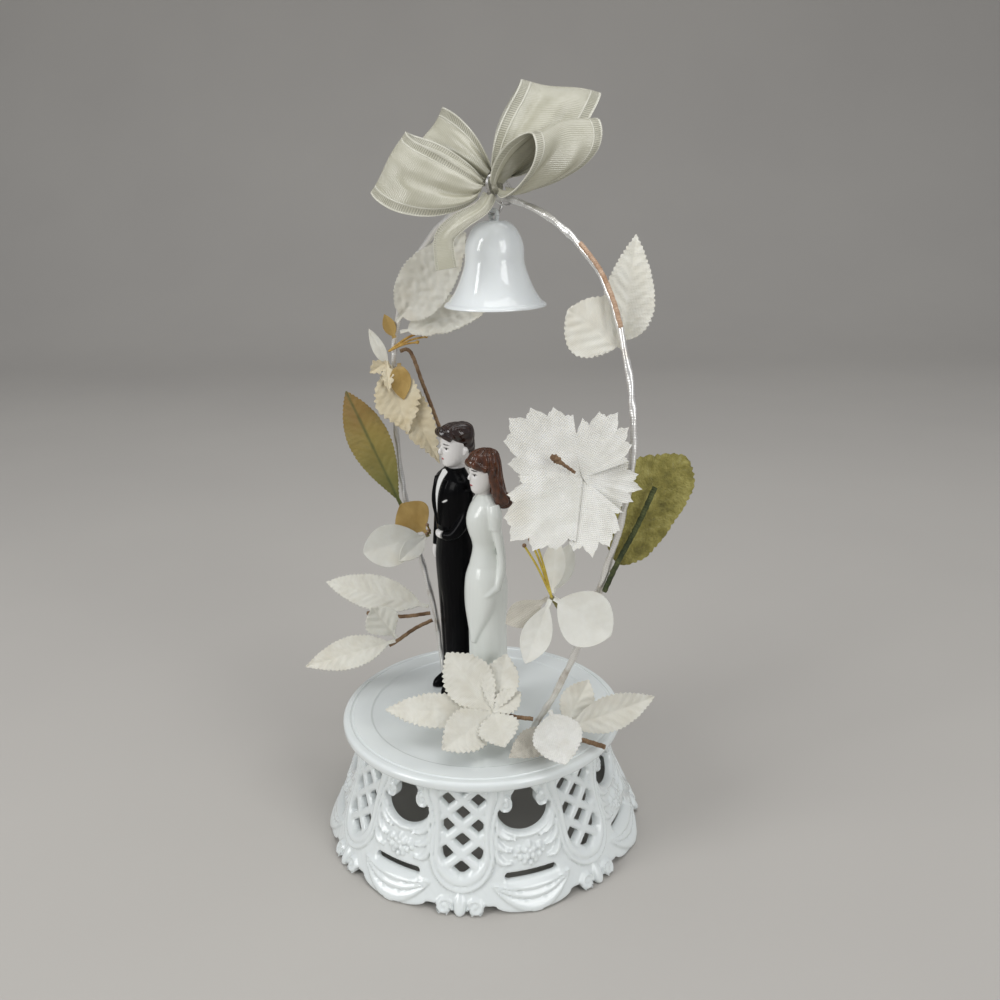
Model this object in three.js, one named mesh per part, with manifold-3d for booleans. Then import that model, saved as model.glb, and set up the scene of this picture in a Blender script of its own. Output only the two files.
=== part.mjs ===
// Vintage wedding cake topper: a pierced plastic pedestal carries a platform with a bride and groom
// under a foil-wrapped wire arch, which is dressed with cloth leaves, a ribbon bow and a hanging bell.
// Millimetres, +Z up. The origin is on the pedestal's axis at the level of its feet.
// The couple look towards -Y and the arch stands across X.
import * as THREE from 'three';
import { mergeVertices } from 'three/addons/utils/BufferGeometryUtils.js';
import { TessellateModifier } from 'three/addons/modifiers/TessellateModifier.js';
import Module from 'manifold-3d';

const wasm = await Module();
wasm.setup();

// Clearance between pieces that rest on or pass through each other
const CLEARANCE = 0.3;

// Pedestal skirt, drawn flat and wrapped round a flared profile
const BAYS = 7;
const SKIRT_HEIGHT = 39.2;
const SKIRT_TOP_RADIUS = 42;
const SKIRT_FOOT_RADIUS = 55;
const SKIRT_FLARE = 1.5;
const SKIRT_WALL = 2;
const DRAWING_RADIUS = 52;
const DRAWING_HEIGHT = 39.2;
const SKIRT_CURVE_STEPS = 3;
const SKIRT_LONGEST_EDGE = 17;
const CARTOUCHE_AZIMUTH = THREE.MathUtils.degToRad(44.2);
const FRAME_INNER = 7.8;
const FRAME_INNER_CENTRE = 18.8;
const FRAME_OUTER = 11.4;
const FRAME_OUTER_CENTRE = 18;
const FRAME_RELIEF = 1;
const FRAME_INSET = 0.3;
const FRAME_SPLAY = 1.2;
const RIM_BAND = 1.2;
const VOLUTE_RADIUS = 2.4;
const VOLUTE_HEIGHT = 32.2;
const VOLUTE_FROM_BAY = 7.4;
const VOLUTE_TURN = 2.3;
const VOLUTE_LEAD = 0.35;
const LATTICE_TOP = 29.3;
const LATTICE_ROWS = 3;
const LATTICE_RISE = 8.1;
const LATTICE_HALF_PITCH = 5.9;
const LATTICE_STRAP = 2.7;
const MOON_CENTRE = 28.9;
const MOON_HALF_WIDTH = 10.2;
const MOON_DEPTH = 6.3;
const MOON_NECK = 2.8;
const MOON_TOP = 37.2;
const SLOT_HEIGHT = 10.4;
const SLOT_WIDTH = 2.4;
const SLOT_HALF_LENGTH = 7.9;
const SCALLOP_NOTCH = 11;
const SCALLOP_NOTCH_HEIGHT = 2.8;
const SCALLOP_DEPTH = 2.6;
const LOBE_OFFSET = 4.9;
const LOBE_RADIUS = 2.5;
const LOBE_HEIGHT = 2.8;
const LOBE_TUCK = 0.35;
const FOOT_HALF_WIDTH = 0.9;
const DROP_HALF_WIDTH = 1.9;
const DROP_BELLY = 2.6;
const DROP_HEIGHT = 6;
const PENDANT_RELIEF = 0.8;

// Platform disc
const PLATFORM_RADIUS = 48;
const PLATFORM_RIM = 3.5;
const PLATFORM_FLOOR = 1.8;
const PLATFORM_DISH = 0.4;
const DISH_RADIUS = 38.2;
const RIM_GROOVE_INSET = 2.9;
const RIM_GROOVE_DEPTH = 0.35;
const COLLAR_CLEARANCE = 1.2;
const COLLAR_WALL = 1.8;
const COLLAR_DEPTH = 3;
const PLATFORM_SEGMENTS = 48;

// Arch wire with its foil wrapping
const ARCH_DIAMETER = 2.2;
const ARCH_HOOK = 3;
const ARCH_RISE = 2.4;
const LEG_HOLE_CLEARANCE = 1.1;
const LEFT_FOOT = new THREE.Vector2(-27.4, 3);
const RIGHT_FOOT = new THREE.Vector2(26.7, -0.3);
const CLINCH_LENGTH = 9;
const CLINCH_DROP = 1.4;
const ARCH_STEPS = 72;
const ARCH_SIDES = 8;

// Bell, its hanger and its clapper
const HANGER_WIRE = 0.9;
const HANGER_HALF_WIDTH = 3.2;
const HANGER_HEIGHT = 6.8;
const BELL_X = 0;
const BELL_HEIGHT = 25.8;
const BELL_RIM_RADIUS = 16;
const BELL_WALL = 1.3;
const BELL_SEGMENTS = 26;
const BELL_PROFILE_STEPS = 8;
const EYE_RADIUS = 1.7;
const EYE_TUBE = 0.65;
const STAPLE_RADIUS = 1.5;
const CLAPPER_WIRE = 0.9;
const CLAPPER_DROP = 15;
const CLAPPER_BALL = 2.4;

// Figures, standing on the platform's dish
const GROOM_PLACE = new THREE.Vector2(-18, 3.6);
const BRIDE_PLACE = new THREE.Vector2(2.2, 1.6);
const COUPLE_TURN = THREE.MathUtils.degToRad(-9);
const SHOE_SPREAD = 3.4;

// Cloth and stems
const LEAF_THICKNESS = 0.5;
const LEAF_TAB = 1.2;
const LEAF_STACK = 2;
const RIBBON_THICKNESS = 0.6;
const RIBBON_WIDTH = 25;
const RIBBON_GATHER = 4;
const RIBBON_LAYER = 1.6;
const GATHER_RATE = 1.8;
const GATHER_POWER = 0.7;
const STEM_DIAMETER = 1.4;
const STAMEN_DIAMETER = 0.7;
const KNOT_RADIUS = 2.3;
const TIE_WIRE = 0.8;

const PLATFORM_TOP = SKIRT_HEIGHT + CLEARANCE + PLATFORM_RIM;
const DISH_TOP = PLATFORM_TOP - PLATFORM_DISH;
const PITCH = (2 * Math.PI * DRAWING_RADIUS) / BAYS;

const at = (x, y, z) => new THREE.Vector3(x, y, z);

// Solids from geometry and back
function bare(geometry) {
  const copy = geometry.clone();
  copy.deleteAttribute('normal');
  copy.deleteAttribute('uv');
  return mergeVertices(copy, 1e-4);
}

function solid(geometry) {
  const merged = bare(geometry);
  return new wasm.Manifold(new wasm.Mesh({
    numProp: 3,
    vertProperties: new Float32Array(merged.attributes.position.array),
    triVerts: new Uint32Array(merged.index.array),
  }));
}

function surfaceOf(body) {
  const mesh = body.getMesh();
  const geometry = new THREE.BufferGeometry();
  geometry.setAttribute('position', new THREE.BufferAttribute(new Float32Array(mesh.vertProperties), 3));
  geometry.setIndex(new THREE.BufferAttribute(new Uint32Array(mesh.triVerts), 1));
  return geometry;
}

function joined(geometries) {
  return geometries.map(solid).reduce((whole, next) => whole.add(next));
}

// A round bar along a curve
function bar(curve, diameter, steps, sides = 6) {
  const section = new THREE.Shape();
  section.absarc(0, 0, diameter / 2, 0, 2 * Math.PI, false);
  return new THREE.ExtrudeGeometry(section, {
    steps, extrudePath: curve, curveSegments: sides / 2, bevelEnabled: false,
  });
}

function barThrough(points, diameter, steps = 8, sides = 6) {
  return bar(new THREE.CatmullRomCurve3(points, false, 'centripetal'), diameter, steps, sides);
}

// A closed skin over stacked rings of points, all rings having the same count
function skinned(rings) {
  const count = rings[0].length;
  const positions = rings.flat().flatMap((point) => [point.x, point.y, point.z]);
  const index = [];
  for (let row = 0; row + 1 < rings.length; row += 1) {
    for (let column = 0; column < count; column += 1) {
      const here = row * count + column;
      const beside = row * count + ((column + 1) % count);
      index.push(here, beside, beside + count, here, beside + count, here + count);
    }
  }
  const last = (rings.length - 1) * count;
  for (let column = 1; column + 1 < count; column += 1) {
    index.push(0, column + 1, column);
    index.push(last, last + column, last + column + 1);
  }
  const geometry = new THREE.BufferGeometry();
  geometry.setAttribute('position', new THREE.BufferAttribute(new Float32Array(positions), 3));
  geometry.setIndex(index);
  return geometry;
}

// A body lofted through level ellipses: [height, half width, half depth, centre x, centre y]
function lofted(levels, sides = 14) {
  return skinned(levels.map(([height, halfWidth, halfDepth, x = 0, y = 0]) => (
    Array.from({ length: sides }, (_, step) => {
      const angle = (2 * Math.PI * step) / sides;
      return at(x + halfWidth * Math.cos(angle), y + halfDepth * Math.sin(angle), height);
    })
  )));
}

// A tapering limb through points with a radius at each
function limb(points, radii, sides = 8) {
  const rings = points.map((point, step) => {
    const before = points[Math.max(step - 1, 0)];
    const after = points[Math.min(step + 1, points.length - 1)];
    const along = after.clone().sub(before).normalize();
    const across = at(0, 1, 0).cross(along).normalize();
    const up = along.clone().cross(across);
    return Array.from({ length: sides }, (_, side) => {
      const angle = (2 * Math.PI * side) / sides;
      return point.clone()
        .addScaledVector(across, radii[step] * Math.cos(angle))
        .addScaledVector(up, radii[step] * Math.sin(angle));
    });
  });
  return skinned(rings);
}

// A thin closed sheet from rows of points on its middle surface
function sheet(rows, thickness) {
  const last = rows.length - 1;
  const side = rows[0].length - 1;
  const face = (row, column, offset) => {
    const along = rows[Math.min(row + 1, last)][column].clone().sub(rows[Math.max(row - 1, 0)][column]);
    const across = rows[row][Math.min(column + 1, side)].clone().sub(rows[row][Math.max(column - 1, 0)]);
    const normal = across.cross(along).normalize();
    return rows[row][column].clone().addScaledVector(normal, offset);
  };
  return skinned(rows.map((points, row) => [
    ...points.map((_, column) => face(row, column, thickness / 2)),
    ...points.map((_, column) => face(row, side - column, -thickness / 2)),
  ]));
}

// Pedestal skirt
const skirtSpread = (height) => THREE.MathUtils.clamp(1 - height / SKIRT_HEIGHT, 0, 1) ** SKIRT_FLARE;
const skirtRadius = (height) => SKIRT_TOP_RADIUS
  + (SKIRT_FOOT_RADIUS - SKIRT_TOP_RADIUS) * skirtSpread(height);

// A point of the flat drawing (along, height, depth from the inner face) on the flared wall
function onWall(along, height, depth, bay) {
  const onSeam = Math.abs(Math.abs(along) - PITCH / 2) < 1e-4;
  const exact = onSeam ? (Math.sign(along) * PITCH) / 2 : along;
  const angle = CARTOUCHE_AZIMUTH + (bay * PITCH + exact) / DRAWING_RADIUS;
  const level = (height * SKIRT_HEIGHT) / DRAWING_HEIGHT;
  const radius = skirtRadius(level) - SKIRT_WALL + depth;
  return [radius * Math.sin(angle), -radius * Math.cos(angle), level];
}

const path = (points) => new THREE.Path(points.map(([u, v]) => new THREE.Vector2(u, v)));

function latticeHoles() {
  const slope = Math.atan2(LATTICE_RISE / 2, LATTICE_HALF_PITCH);
  const halfWidth = LATTICE_HALF_PITCH - LATTICE_STRAP / 2 / Math.sin(slope);
  const halfHeight = LATTICE_RISE / 2 - LATTICE_STRAP / 2 / Math.cos(slope);
  const floor = FRAME_INNER_CENTRE - FRAME_INNER + FRAME_INSET;
  const holes = [];
  for (let row = 0; row < LATTICE_ROWS; row += 1) {
    const middle = LATTICE_TOP - row * LATTICE_RISE;
    const foot = Math.max(middle - halfHeight, floor);
    const footHalf = Math.max(halfWidth * (1 - (middle - foot) / halfHeight), FRAME_INSET);
    holes.push(path([[-halfWidth, middle], [-footHalf, foot], [footHalf, foot], [halfWidth, middle],
      [0, middle + halfHeight]]));
    const beside = middle + LATTICE_RISE / 2;
    const below = Math.max(FRAME_INNER_CENTRE - beside + halfHeight / 2, 0);
    const wall = Math.sqrt(FRAME_INNER ** 2 - below ** 2) - FRAME_INSET;
    const clipped = halfHeight * (1 - (wall - LATTICE_HALF_PITCH) / halfWidth);
    for (const hand of [-1, 1]) {
      holes.push(path([[hand * (LATTICE_HALF_PITCH - halfWidth), beside],
        [hand * LATTICE_HALF_PITCH, beside - halfHeight], [hand * wall, beside - clipped],
        [hand * wall, beside + clipped], [hand * LATTICE_HALF_PITCH, beside + halfHeight]]));
    }
  }
  return holes;
}

// The right half of one repeat, from the foot under the cartouche to the middle of the next bay
function bayEdge() {
  const middle = PITCH / 2;
  const round = VOLUTE_RADIUS + FRAME_INSET;
  const slot = SLOT_WIDTH / 2;
  const edge = new THREE.Path();
  edge.moveTo(0, 0);
  edge.lineTo(FOOT_HALF_WIDTH, 0);
  edge.absarc(LOBE_OFFSET, LOBE_HEIGHT, LOBE_RADIUS, Math.PI + LOBE_TUCK, 2 * Math.PI, false);
  edge.absellipse(middle, SCALLOP_NOTCH_HEIGHT, middle - SCALLOP_NOTCH, SCALLOP_DEPTH,
    Math.PI, 1.5 * Math.PI, false);
  edge.absarc(middle - SLOT_HALF_LENGTH, SLOT_HEIGHT, slot, 1.5 * Math.PI, 0.5 * Math.PI, true);
  edge.lineTo(middle, SLOT_HEIGHT + slot);
  edge.absellipse(middle, MOON_CENTRE, MOON_HALF_WIDTH, MOON_DEPTH, 1.5 * Math.PI, Math.PI, true);
  edge.absarc(middle - VOLUTE_FROM_BAY, VOLUTE_HEIGHT, round, -VOLUTE_TURN, VOLUTE_LEAD, false);
  edge.lineTo(middle - MOON_NECK, MOON_TOP);
  edge.lineTo(middle, MOON_TOP);
  edge.lineTo(middle, DRAWING_HEIGHT);
  const points = edge.getPoints(SKIRT_CURVE_STEPS);
  const slotEnd = points.findIndex((point) => Math.abs(point.y - (SLOT_HEIGHT - slot)) < 1e-6);
  points.splice(slotEnd, 0, new THREE.Vector2(middle, SLOT_HEIGHT - slot));
  return points;
}

// The cartouche's moulded rim: a U whose tops sweep out and curl into the volutes
function frameBand() {
  const volute = PITCH / 2 - VOLUTE_FROM_BAY;
  const inner = FRAME_INNER + FRAME_INSET;
  const top = DRAWING_HEIGHT - RIM_BAND;
  const rim = new THREE.Path();
  rim.absarc(0, FRAME_OUTER_CENTRE, FRAME_OUTER, 1.5 * Math.PI, 2 * Math.PI, false);
  rim.quadraticCurveTo(FRAME_OUTER, VOLUTE_HEIGHT - VOLUTE_RADIUS, volute - VOLUTE_RADIUS, VOLUTE_HEIGHT);
  rim.absarc(volute, VOLUTE_HEIGHT, VOLUTE_RADIUS, Math.PI, 2.5 * Math.PI, false);
  rim.lineTo(volute - VOLUTE_RADIUS, top);
  rim.quadraticCurveTo(inner + VOLUTE_RADIUS, top, inner + FRAME_SPLAY, LATTICE_TOP + LATTICE_RISE / 2);
  rim.absarc(0, FRAME_INNER_CENTRE, inner, 0, -0.5 * Math.PI, true);
  return rim.getPoints(SKIRT_CURVE_STEPS);
}

function pendantDrop() {
  const drop = new THREE.Path();
  drop.moveTo(0, FRAME_INSET);
  drop.lineTo(FOOT_HALF_WIDTH, FRAME_INSET);
  drop.quadraticCurveTo(DROP_HALF_WIDTH, DROP_BELLY / 2, DROP_HALF_WIDTH, DROP_BELLY);
  drop.quadraticCurveTo(DROP_HALF_WIDTH, (DROP_BELLY + DROP_HEIGHT) / 2, 0, DROP_HEIGHT);
  return drop.getPoints(SKIRT_CURVE_STEPS);
}

// A half outline and its mirror image as one loop, from the right half's points
function mirrored(points) {
  const reflected = points.map((point) => new THREE.Vector2(-point.x, point.y)).reverse();
  const loop = [...points, ...reflected];
  return loop.filter((point, step) => point.distanceTo(loop[(step + 1) % loop.length]) > 1e-6);
}

// Long edges of an outline get points between their ends
function stepped(points) {
  return points.flatMap((point, step) => {
    const next = points[(step + 1) % points.length];
    const parts = Math.ceil(point.distanceTo(next) / SKIRT_LONGEST_EDGE);
    return Array.from({ length: parts }, (_, part) => point.clone().lerp(next, part / parts));
  });
}

// A face of the drawing at one depth, with triangles no longer than the longest edge
function facing(outline, holes, depth, outward) {
  const shape = new THREE.Shape(outline);
  shape.holes = holes.map((hole) => new THREE.Path(hole));
  const flat = new THREE.ShapeGeometry(shape).toNonIndexed();
  const fine = new TessellateModifier(SKIRT_LONGEST_EDGE, 8).modify(flat);
  const position = fine.attributes.position;
  const corners = [];
  for (let i = 0; i < position.count; i += 3) {
    const order = outward ? [i, i + 1, i + 2] : [i, i + 2, i + 1];
    order.forEach((corner) => corners.push([position.getX(corner), position.getY(corner), depth]));
  }
  return corners;
}

// The faces along an outline between two depths; seams between repeats stay open
function edging(outline, low, high, hole) {
  const middle = PITCH / 2;
  const loop = THREE.ShapeUtils.isClockWise(outline) === hole ? outline : outline.slice().reverse();
  return loop.flatMap((point, step) => {
    const next = loop[(step + 1) % loop.length];
    const onSeam = Math.abs(Math.abs(point.x) - middle) < 1e-6 && Math.abs(point.x - next.x) < 1e-6;
    if (onSeam) return [];
    const quad = [[point, low], [next, low], [next, high], [point, low], [next, high], [point, high]];
    return quad.map(([{ x, y }, depth]) => [Math.fround(x), Math.fround(y), depth]);
  });
}

// One repeat: openings go right through, reliefs stand on the outer face
function bayCorners() {
  const outline = stepped(mirrored(bayEdge()));
  const openings = latticeHoles().map((hole) => stepped(hole.getPoints()));
  const reliefs = [
    { loop: stepped(mirrored(frameBand())), relief: FRAME_RELIEF },
    { loop: stepped(mirrored(pendantDrop())), relief: PENDANT_RELIEF },
  ];
  const loops = reliefs.map(({ loop }) => loop);
  return [
    ...facing(outline, [...openings, ...loops], SKIRT_WALL, true),
    ...facing(outline, openings, 0, false),
    ...edging(outline, 0, SKIRT_WALL, false),
    ...openings.flatMap((opening) => edging(opening, 0, SKIRT_WALL, true)),
    ...reliefs.flatMap(({ loop, relief }) => [
      ...facing(loop, [], SKIRT_WALL + relief, true),
      ...edging(loop, SKIRT_WALL, SKIRT_WALL + relief, false),
    ]),
  ];
}

function pedestalSkirt() {
  const corners = bayCorners();
  const positions = [];
  for (let bay = 0; bay < BAYS; bay += 1) {
    corners.forEach(([along, height, depth]) => positions.push(...onWall(along, height, depth, bay)));
  }
  const skirt = new THREE.BufferGeometry();
  skirt.setAttribute('position', new THREE.BufferAttribute(new Float32Array(positions), 3));
  return mergeVertices(skirt, 1e-3);
}

// Platform disc with its rounded rim, ring groove, shallow dish, collar and two leg holes
function platformDisc() {
  const under = PLATFORM_TOP - PLATFORM_RIM;
  const floor = DISH_TOP - PLATFORM_FLOOR;
  const collarOuter = SKIRT_TOP_RADIUS - SKIRT_WALL - COLLAR_CLEARANCE;
  const groove = PLATFORM_RADIUS - RIM_GROOVE_INSET;
  const profile = [
    [0, floor], [collarOuter - COLLAR_WALL, floor], [collarOuter - COLLAR_WALL, under - COLLAR_DEPTH],
    [collarOuter, under - COLLAR_DEPTH], [collarOuter, under], [PLATFORM_RADIUS - 1.2, under],
    [PLATFORM_RADIUS, under + 1], [PLATFORM_RADIUS, PLATFORM_TOP - 1],
    [PLATFORM_RADIUS - 0.9, PLATFORM_TOP], [groove + 0.4, PLATFORM_TOP],
    [groove, PLATFORM_TOP - RIM_GROOVE_DEPTH], [groove - 0.4, PLATFORM_TOP],
    [DISH_RADIUS + 0.4, PLATFORM_TOP], [DISH_RADIUS, DISH_TOP], [0, DISH_TOP],
  ].map(([radius, height]) => new THREE.Vector2(radius, height));
  const plate = new THREE.LatheGeometry(profile, PLATFORM_SEGMENTS);
  plate.rotateX(Math.PI / 2);
  const holes = [LEFT_FOOT, RIGHT_FOOT].map((foot) => {
    const radius = ARCH_DIAMETER / 2 + LEG_HOLE_CLEARANCE;
    const drill = new THREE.CylinderGeometry(radius, radius, 4 * PLATFORM_RIM, 12);
    drill.rotateX(Math.PI / 2);
    return drill.translate(foot.x, foot.y, PLATFORM_TOP);
  });
  return surfaceOf(holes.reduce((body, hole) => body.subtract(solid(hole)), solid(plate)));
}

// Arch wire: hand-bent points as [x, y, height above the platform], from the left foot to the right
const BENDS = [
  [-30, 2.5, 22], [-36.4, 1.5, 43], [-43.9, 0.4, 65], [-50, 1.5, 95], [-49.6, 3, 122], [-41, 5, 146],
  [-22, 7.5, 163], [-6, 8.8, 168.6], [2.2, 9.2, 169.3], [9.5, 9.5, 168.5], [25.4, 11, 163],
  [44.5, 11.5, 149], [54.7, 11, 130], [60.5, 9.6, 106], [59.6, 7.6, 86], [54.4, 5, 64], [45.8, 2.2, 38],
  [36.5, 0.6, 18],
].map(([x, y, height]) => at(x, y, PLATFORM_TOP + height));
const CLINCH_LEVEL = DISH_TOP - PLATFORM_FLOOR - CLEARANCE - ARCH_DIAMETER / 2 - CLINCH_DROP;

function archCurve() {
  const leg = (foot) => [
    at(foot.x - Math.sign(foot.x) * CLINCH_LENGTH, foot.y, CLINCH_LEVEL),
    at(foot.x - Math.sign(foot.x) * ARCH_HOOK, foot.y, CLINCH_LEVEL),
    at(foot.x, foot.y, CLINCH_LEVEL + ARCH_RISE),
    at(foot.x, foot.y, PLATFORM_TOP + ARCH_DIAMETER / 2),
  ];
  return new THREE.CatmullRomCurve3(
    [...leg(LEFT_FOOT), ...BENDS, ...leg(RIGHT_FOOT).reverse()], false, 'centripetal',
  );
}
const ARCH = archCurve();
const ARCH_SAMPLES = ARCH.getSpacedPoints(600);

// The arch's point and direction at a height on one leg, or at its top where x is given
function archAt(side, height) {
  const half = side === 'left' ? ARCH_SAMPLES.slice(1, 300) : ARCH_SAMPLES.slice(300, -1);
  const nearest = half.reduce((best, point) => (
    Math.abs(point.z - height) < Math.abs(best.z - height) ? point : best));
  const place = ARCH_SAMPLES.indexOf(nearest);
  const along = ARCH_SAMPLES[place + 1].clone().sub(ARCH_SAMPLES[place - 1]).normalize();
  return { point: nearest.clone(), along };
}

function archAtX(x) {
  return ARCH_SAMPLES.filter((point) => point.z > PLATFORM_TOP + 120)
    .reduce((best, point) => (Math.abs(point.x - x) < Math.abs(best.x - x) ? point : best)).clone();
}

// A seat beside the arch, on the side that a direction points to, for a piece of the given radius
function besideArch(side, height, towards, radius) {
  const { point, along } = archAt(side, height);
  const outward = towards.clone().addScaledVector(along, -towards.dot(along)).normalize();
  return point.addScaledVector(outward, ARCH_DIAMETER / 2 + CLEARANCE + radius);
}

// Leaves and petals: a midrib from base to tip, bowed along the face normal, with folded halves
function leaf({
  base, reach, width, face, bow = 0, fold = 0.25, teeth = 0, broad = 0.45, tab = 0.08, rows = 7,
}) {
  const along = reach.clone().normalize();
  const normal = face.clone().addScaledVector(along, -face.dot(along)).normalize();
  const across = along.clone().cross(normal);
  const power = Math.log(0.5) / Math.log(broad);
  const points = [];
  for (let row = 0; row <= rows; row += 1) {
    const t = row / rows;
    const blade = Math.max(t - tab, 0) / (1 - tab);
    const swell = Math.sin(Math.PI * blade ** power) ** 0.8;
    const tooth = teeth && row % 2 === 0 && row > 1 && row < rows ? 1 - teeth : 1;
    const half = Math.max((width / 2) * swell * tooth, LEAF_TAB / 2);
    const middle = base.clone().addScaledVector(reach, t)
      .addScaledVector(normal, bow * Math.sin((Math.PI * t) / 2) ** 2);
    const lifted = (share) => middle.clone().addScaledVector(across, share * half)
      .addScaledVector(normal, Math.abs(share) * half * fold);
    points.push([lifted(-1), lifted(0), lifted(1)]);
  }
  return sheet(points, LEAF_THICKNESS);
}

// A die-cut flower: petals that share a small domed hub
function flower({ hub, tips, width, face, teeth, bow = 1, hubRadius = 1.8, rows = 7, broad = 0.55 }) {
  const petals = tips.map((tip, index) => leaf({
    base: hub.clone().addScaledVector(face.clone().normalize(), index % 2 === 0 ? 0.2 : -0.2),
    reach: tip, width: Array.isArray(width) ? width[index] : width, face, teeth, bow, tab: 0.06, rows, broad,
  }));
  const dome = new THREE.SphereGeometry(hubRadius, 8, 6).translate(hub.x, hub.y, hub.z);
  return surfaceOf(joined([dome, ...petals]));
}

function bundle({ base, tips, diameter = STAMEN_DIAMETER }) {
  const filaments = tips.map((tip) => {
    const end = base.clone().add(tip);
    const middle = base.clone().addScaledVector(tip, 0.55).add(at(0, 0, tip.length() * 0.06));
    return barThrough([base.clone(), middle, end], diameter, 3, 4);
  });
  const heads = tips.map((tip) => {
    const end = base.clone().add(tip);
    return new THREE.SphereGeometry(diameter * 0.95, 5, 4).translate(end.x, end.y, end.z);
  });
  const collar = new THREE.SphereGeometry(diameter * 1.5, 6, 4).translate(base.x, base.y, base.z);
  return surfaceOf(joined([collar, ...filaments, ...heads]));
}

// Figures: lofted and fused as one moulding each, drawn looking towards -Y from their own base
function groomFigure() {
  const legs = lofted([[0, 6.2, 5.4], [14, 6.8, 5.6], [32, 7.6, 6], [44, 8.2, 6.5], [54, 8, 6.2],
    [61, 7.6, 5.6]]);
  const coat = lofted([[40, 8.8, 7], [50, 8.6, 6.7], [59, 7.9, 5.8], [68, 9.2, 6.6], [74, 9.6, 6.4],
    [78, 9, 5.2], [80.5, 6, 4, 0, 0.4], [82, 3.4, 3.4, 0, 0.5]]);
  const tails = lofted([[17, 3.4, 1.6, 0, 5.6], [28, 5.6, 2.4, 0, 5.6], [44, 7.2, 3.2, 0, 4.4]], 10);
  const neck = lofted([[79, 2.9, 2.9, 0, 1], [86, 2.7, 2.8, 0, 1.6]], 10);
  const head = lofted([[82.4, 1.6, 1.8, 0, -0.7], [83.2, 3, 3.4, 0, 0], [85.4, 4.2, 4.6, 0, 0.9],
    [88.3, 4.7, 5.4, 0, 1.4], [91.6, 4.8, 5.7, 0, 1.7], [94.4, 4, 4.8, 0, 1.9], [95.8, 2, 2.6, 0, 2.1]], 12);
  const hair = lofted([[86.4, 3.4, 2, 0, 5.7], [88.3, 4.6, 3.4, 0, 4.4], [91.1, 5.2, 4.9, 0, 2.9],
    [93.5, 5.3, 5.9, 0.2, 1.9], [95.7, 4.6, 5.5, 0.2, 1.8], [97, 2.6, 3.4, 0.1, 2.2]], 12);
  const nose = limb([at(0, -3.7, 89.8), at(0, -4.6, 87.9), at(0, -3.3, 87.3)], [0.5, 0.8, 0.6], 6);
  const rightArm = limb([at(-9.2, 0.6, 76), at(-10.4, 0.4, 66), at(-9.6, -1.4, 54), at(-9, -3, 47)],
    [2.6, 2.7, 2.3, 1.7]);
  const leftArm = limb([at(8.4, 0.8, 76), at(8.8, 0.4, 68), at(7.4, -4.4, 60.5), at(3.4, -7, 60)],
    [2.2, 2.2, 2, 1.6]);
  const shoes = [-SHOE_SPREAD, SHOE_SPREAD].map((x) => (
    lofted([[0, 2.7, 5.4, x, -4], [2, 2.6, 5, x, -3.7], [4, 2, 3.4, x, -2.4]], 10)));
  return surfaceOf(joined([legs, coat, tails, neck, head, hair, nose, rightArm, leftArm, ...shoes]));
}

function brideFigure() {
  const gown = lofted([[0, 7.2, 7], [6, 6.6, 6.7], [22, 6.5, 6.4], [36, 7, 6.5], [46, 7.7, 6.9],
    [53, 6.2, 5.7], [60, 4.7, 4.4], [66, 5.6, 5.6, 0, -0.5], [70, 5.7, 5.9, 0, -0.5], [74, 5.6, 4.6],
    [76.4, 3.8, 3.2, 0, 0.2], [78, 2.3, 2.3, 0, 0.3]]);
  const apron = lofted([[27, 1.2, 1, 1.4, -6.2], [32, 4, 2.6, 0.8, -4.6], [40, 7.3, 4.8, 0.2, -2.6],
    [49, 7.4, 6.6, 0, -0.4], [53, 6.3, 5.8]], 12);
  const neck = lofted([[75, 2.2, 2.2, 0, 0.2], [82, 2.1, 2.2, 0, -0.2]], 10);
  const head = lofted([[78.4, 1.4, 1.5, 0, -2.4], [79.3, 2.6, 2.8, 0, -1.8], [81.4, 3.7, 4, 0, -0.9],
    [84, 4.2, 4.7, 0, -0.5], [87.4, 4.2, 4.9, 0, -0.2], [90, 3, 3.6, 0, 0.2]], 12);
  const hair = lofted([[73.6, 3, 1.4, 0, 5.2], [75.4, 5, 2.4, 0, 4.6], [78.5, 5.2, 3, 0, 3.8],
    [82, 4.9, 3.4, 0, 2.8], [85.5, 5, 4.6, 0, 1.2], [89, 4.9, 5.5, 0, -0.1], [91.4, 3.8, 4.6, 0, 0],
    [92.6, 1.8, 2.2, 0, 0.3]], 12);
  const nose = limb([at(0, -4.8, 85.4), at(0, -5.5, 83.8), at(0, -4.4, 83.2)], [0.4, 0.65, 0.5], 6);
  const arms = [-1, 1].flatMap((hand) => [
    limb([at(hand * 4.9, 0.4, 75), at(hand * 5.8, 0.4, 71.5), at(hand * 5.9, 0.6, 67)], [1.9, 2.4, 1.9]),
    limb([at(hand * 5.9, 0.4, 69), at(hand * 6.4, 1.8, 61), at(hand * 7, 2, 54), at(hand * 7.4, -0.4, 46.5)],
      [1.7, 1.5, 1.35, 1.2]),
  ]);
  return surfaceOf(joined([gown, apron, neck, head, hair, nose, ...arms]));
}

// Bell: a turned shell with a moulded eye above and a moulded staple inside the crown
const BELL_TOP = archAtX(BELL_X);
const HANGER_TOP = BELL_TOP.z + ARCH_DIAMETER / 2 + CLEARANCE + HANGER_WIRE / 2;
const HANGER_FOOT = HANGER_TOP - HANGER_HEIGHT;
const EYE_CENTRE = HANGER_FOOT + HANGER_WIRE / 2 + CLEARANCE + EYE_TUBE - EYE_RADIUS;
const CROWN = EYE_CENTRE - EYE_RADIUS + EYE_TUBE / 2;
const STAPLE_CENTRE = CROWN - BELL_WALL - STAPLE_RADIUS + EYE_TUBE;
const CLAPPER_PIVOT = STAPLE_CENTRE - STAPLE_RADIUS;

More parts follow.
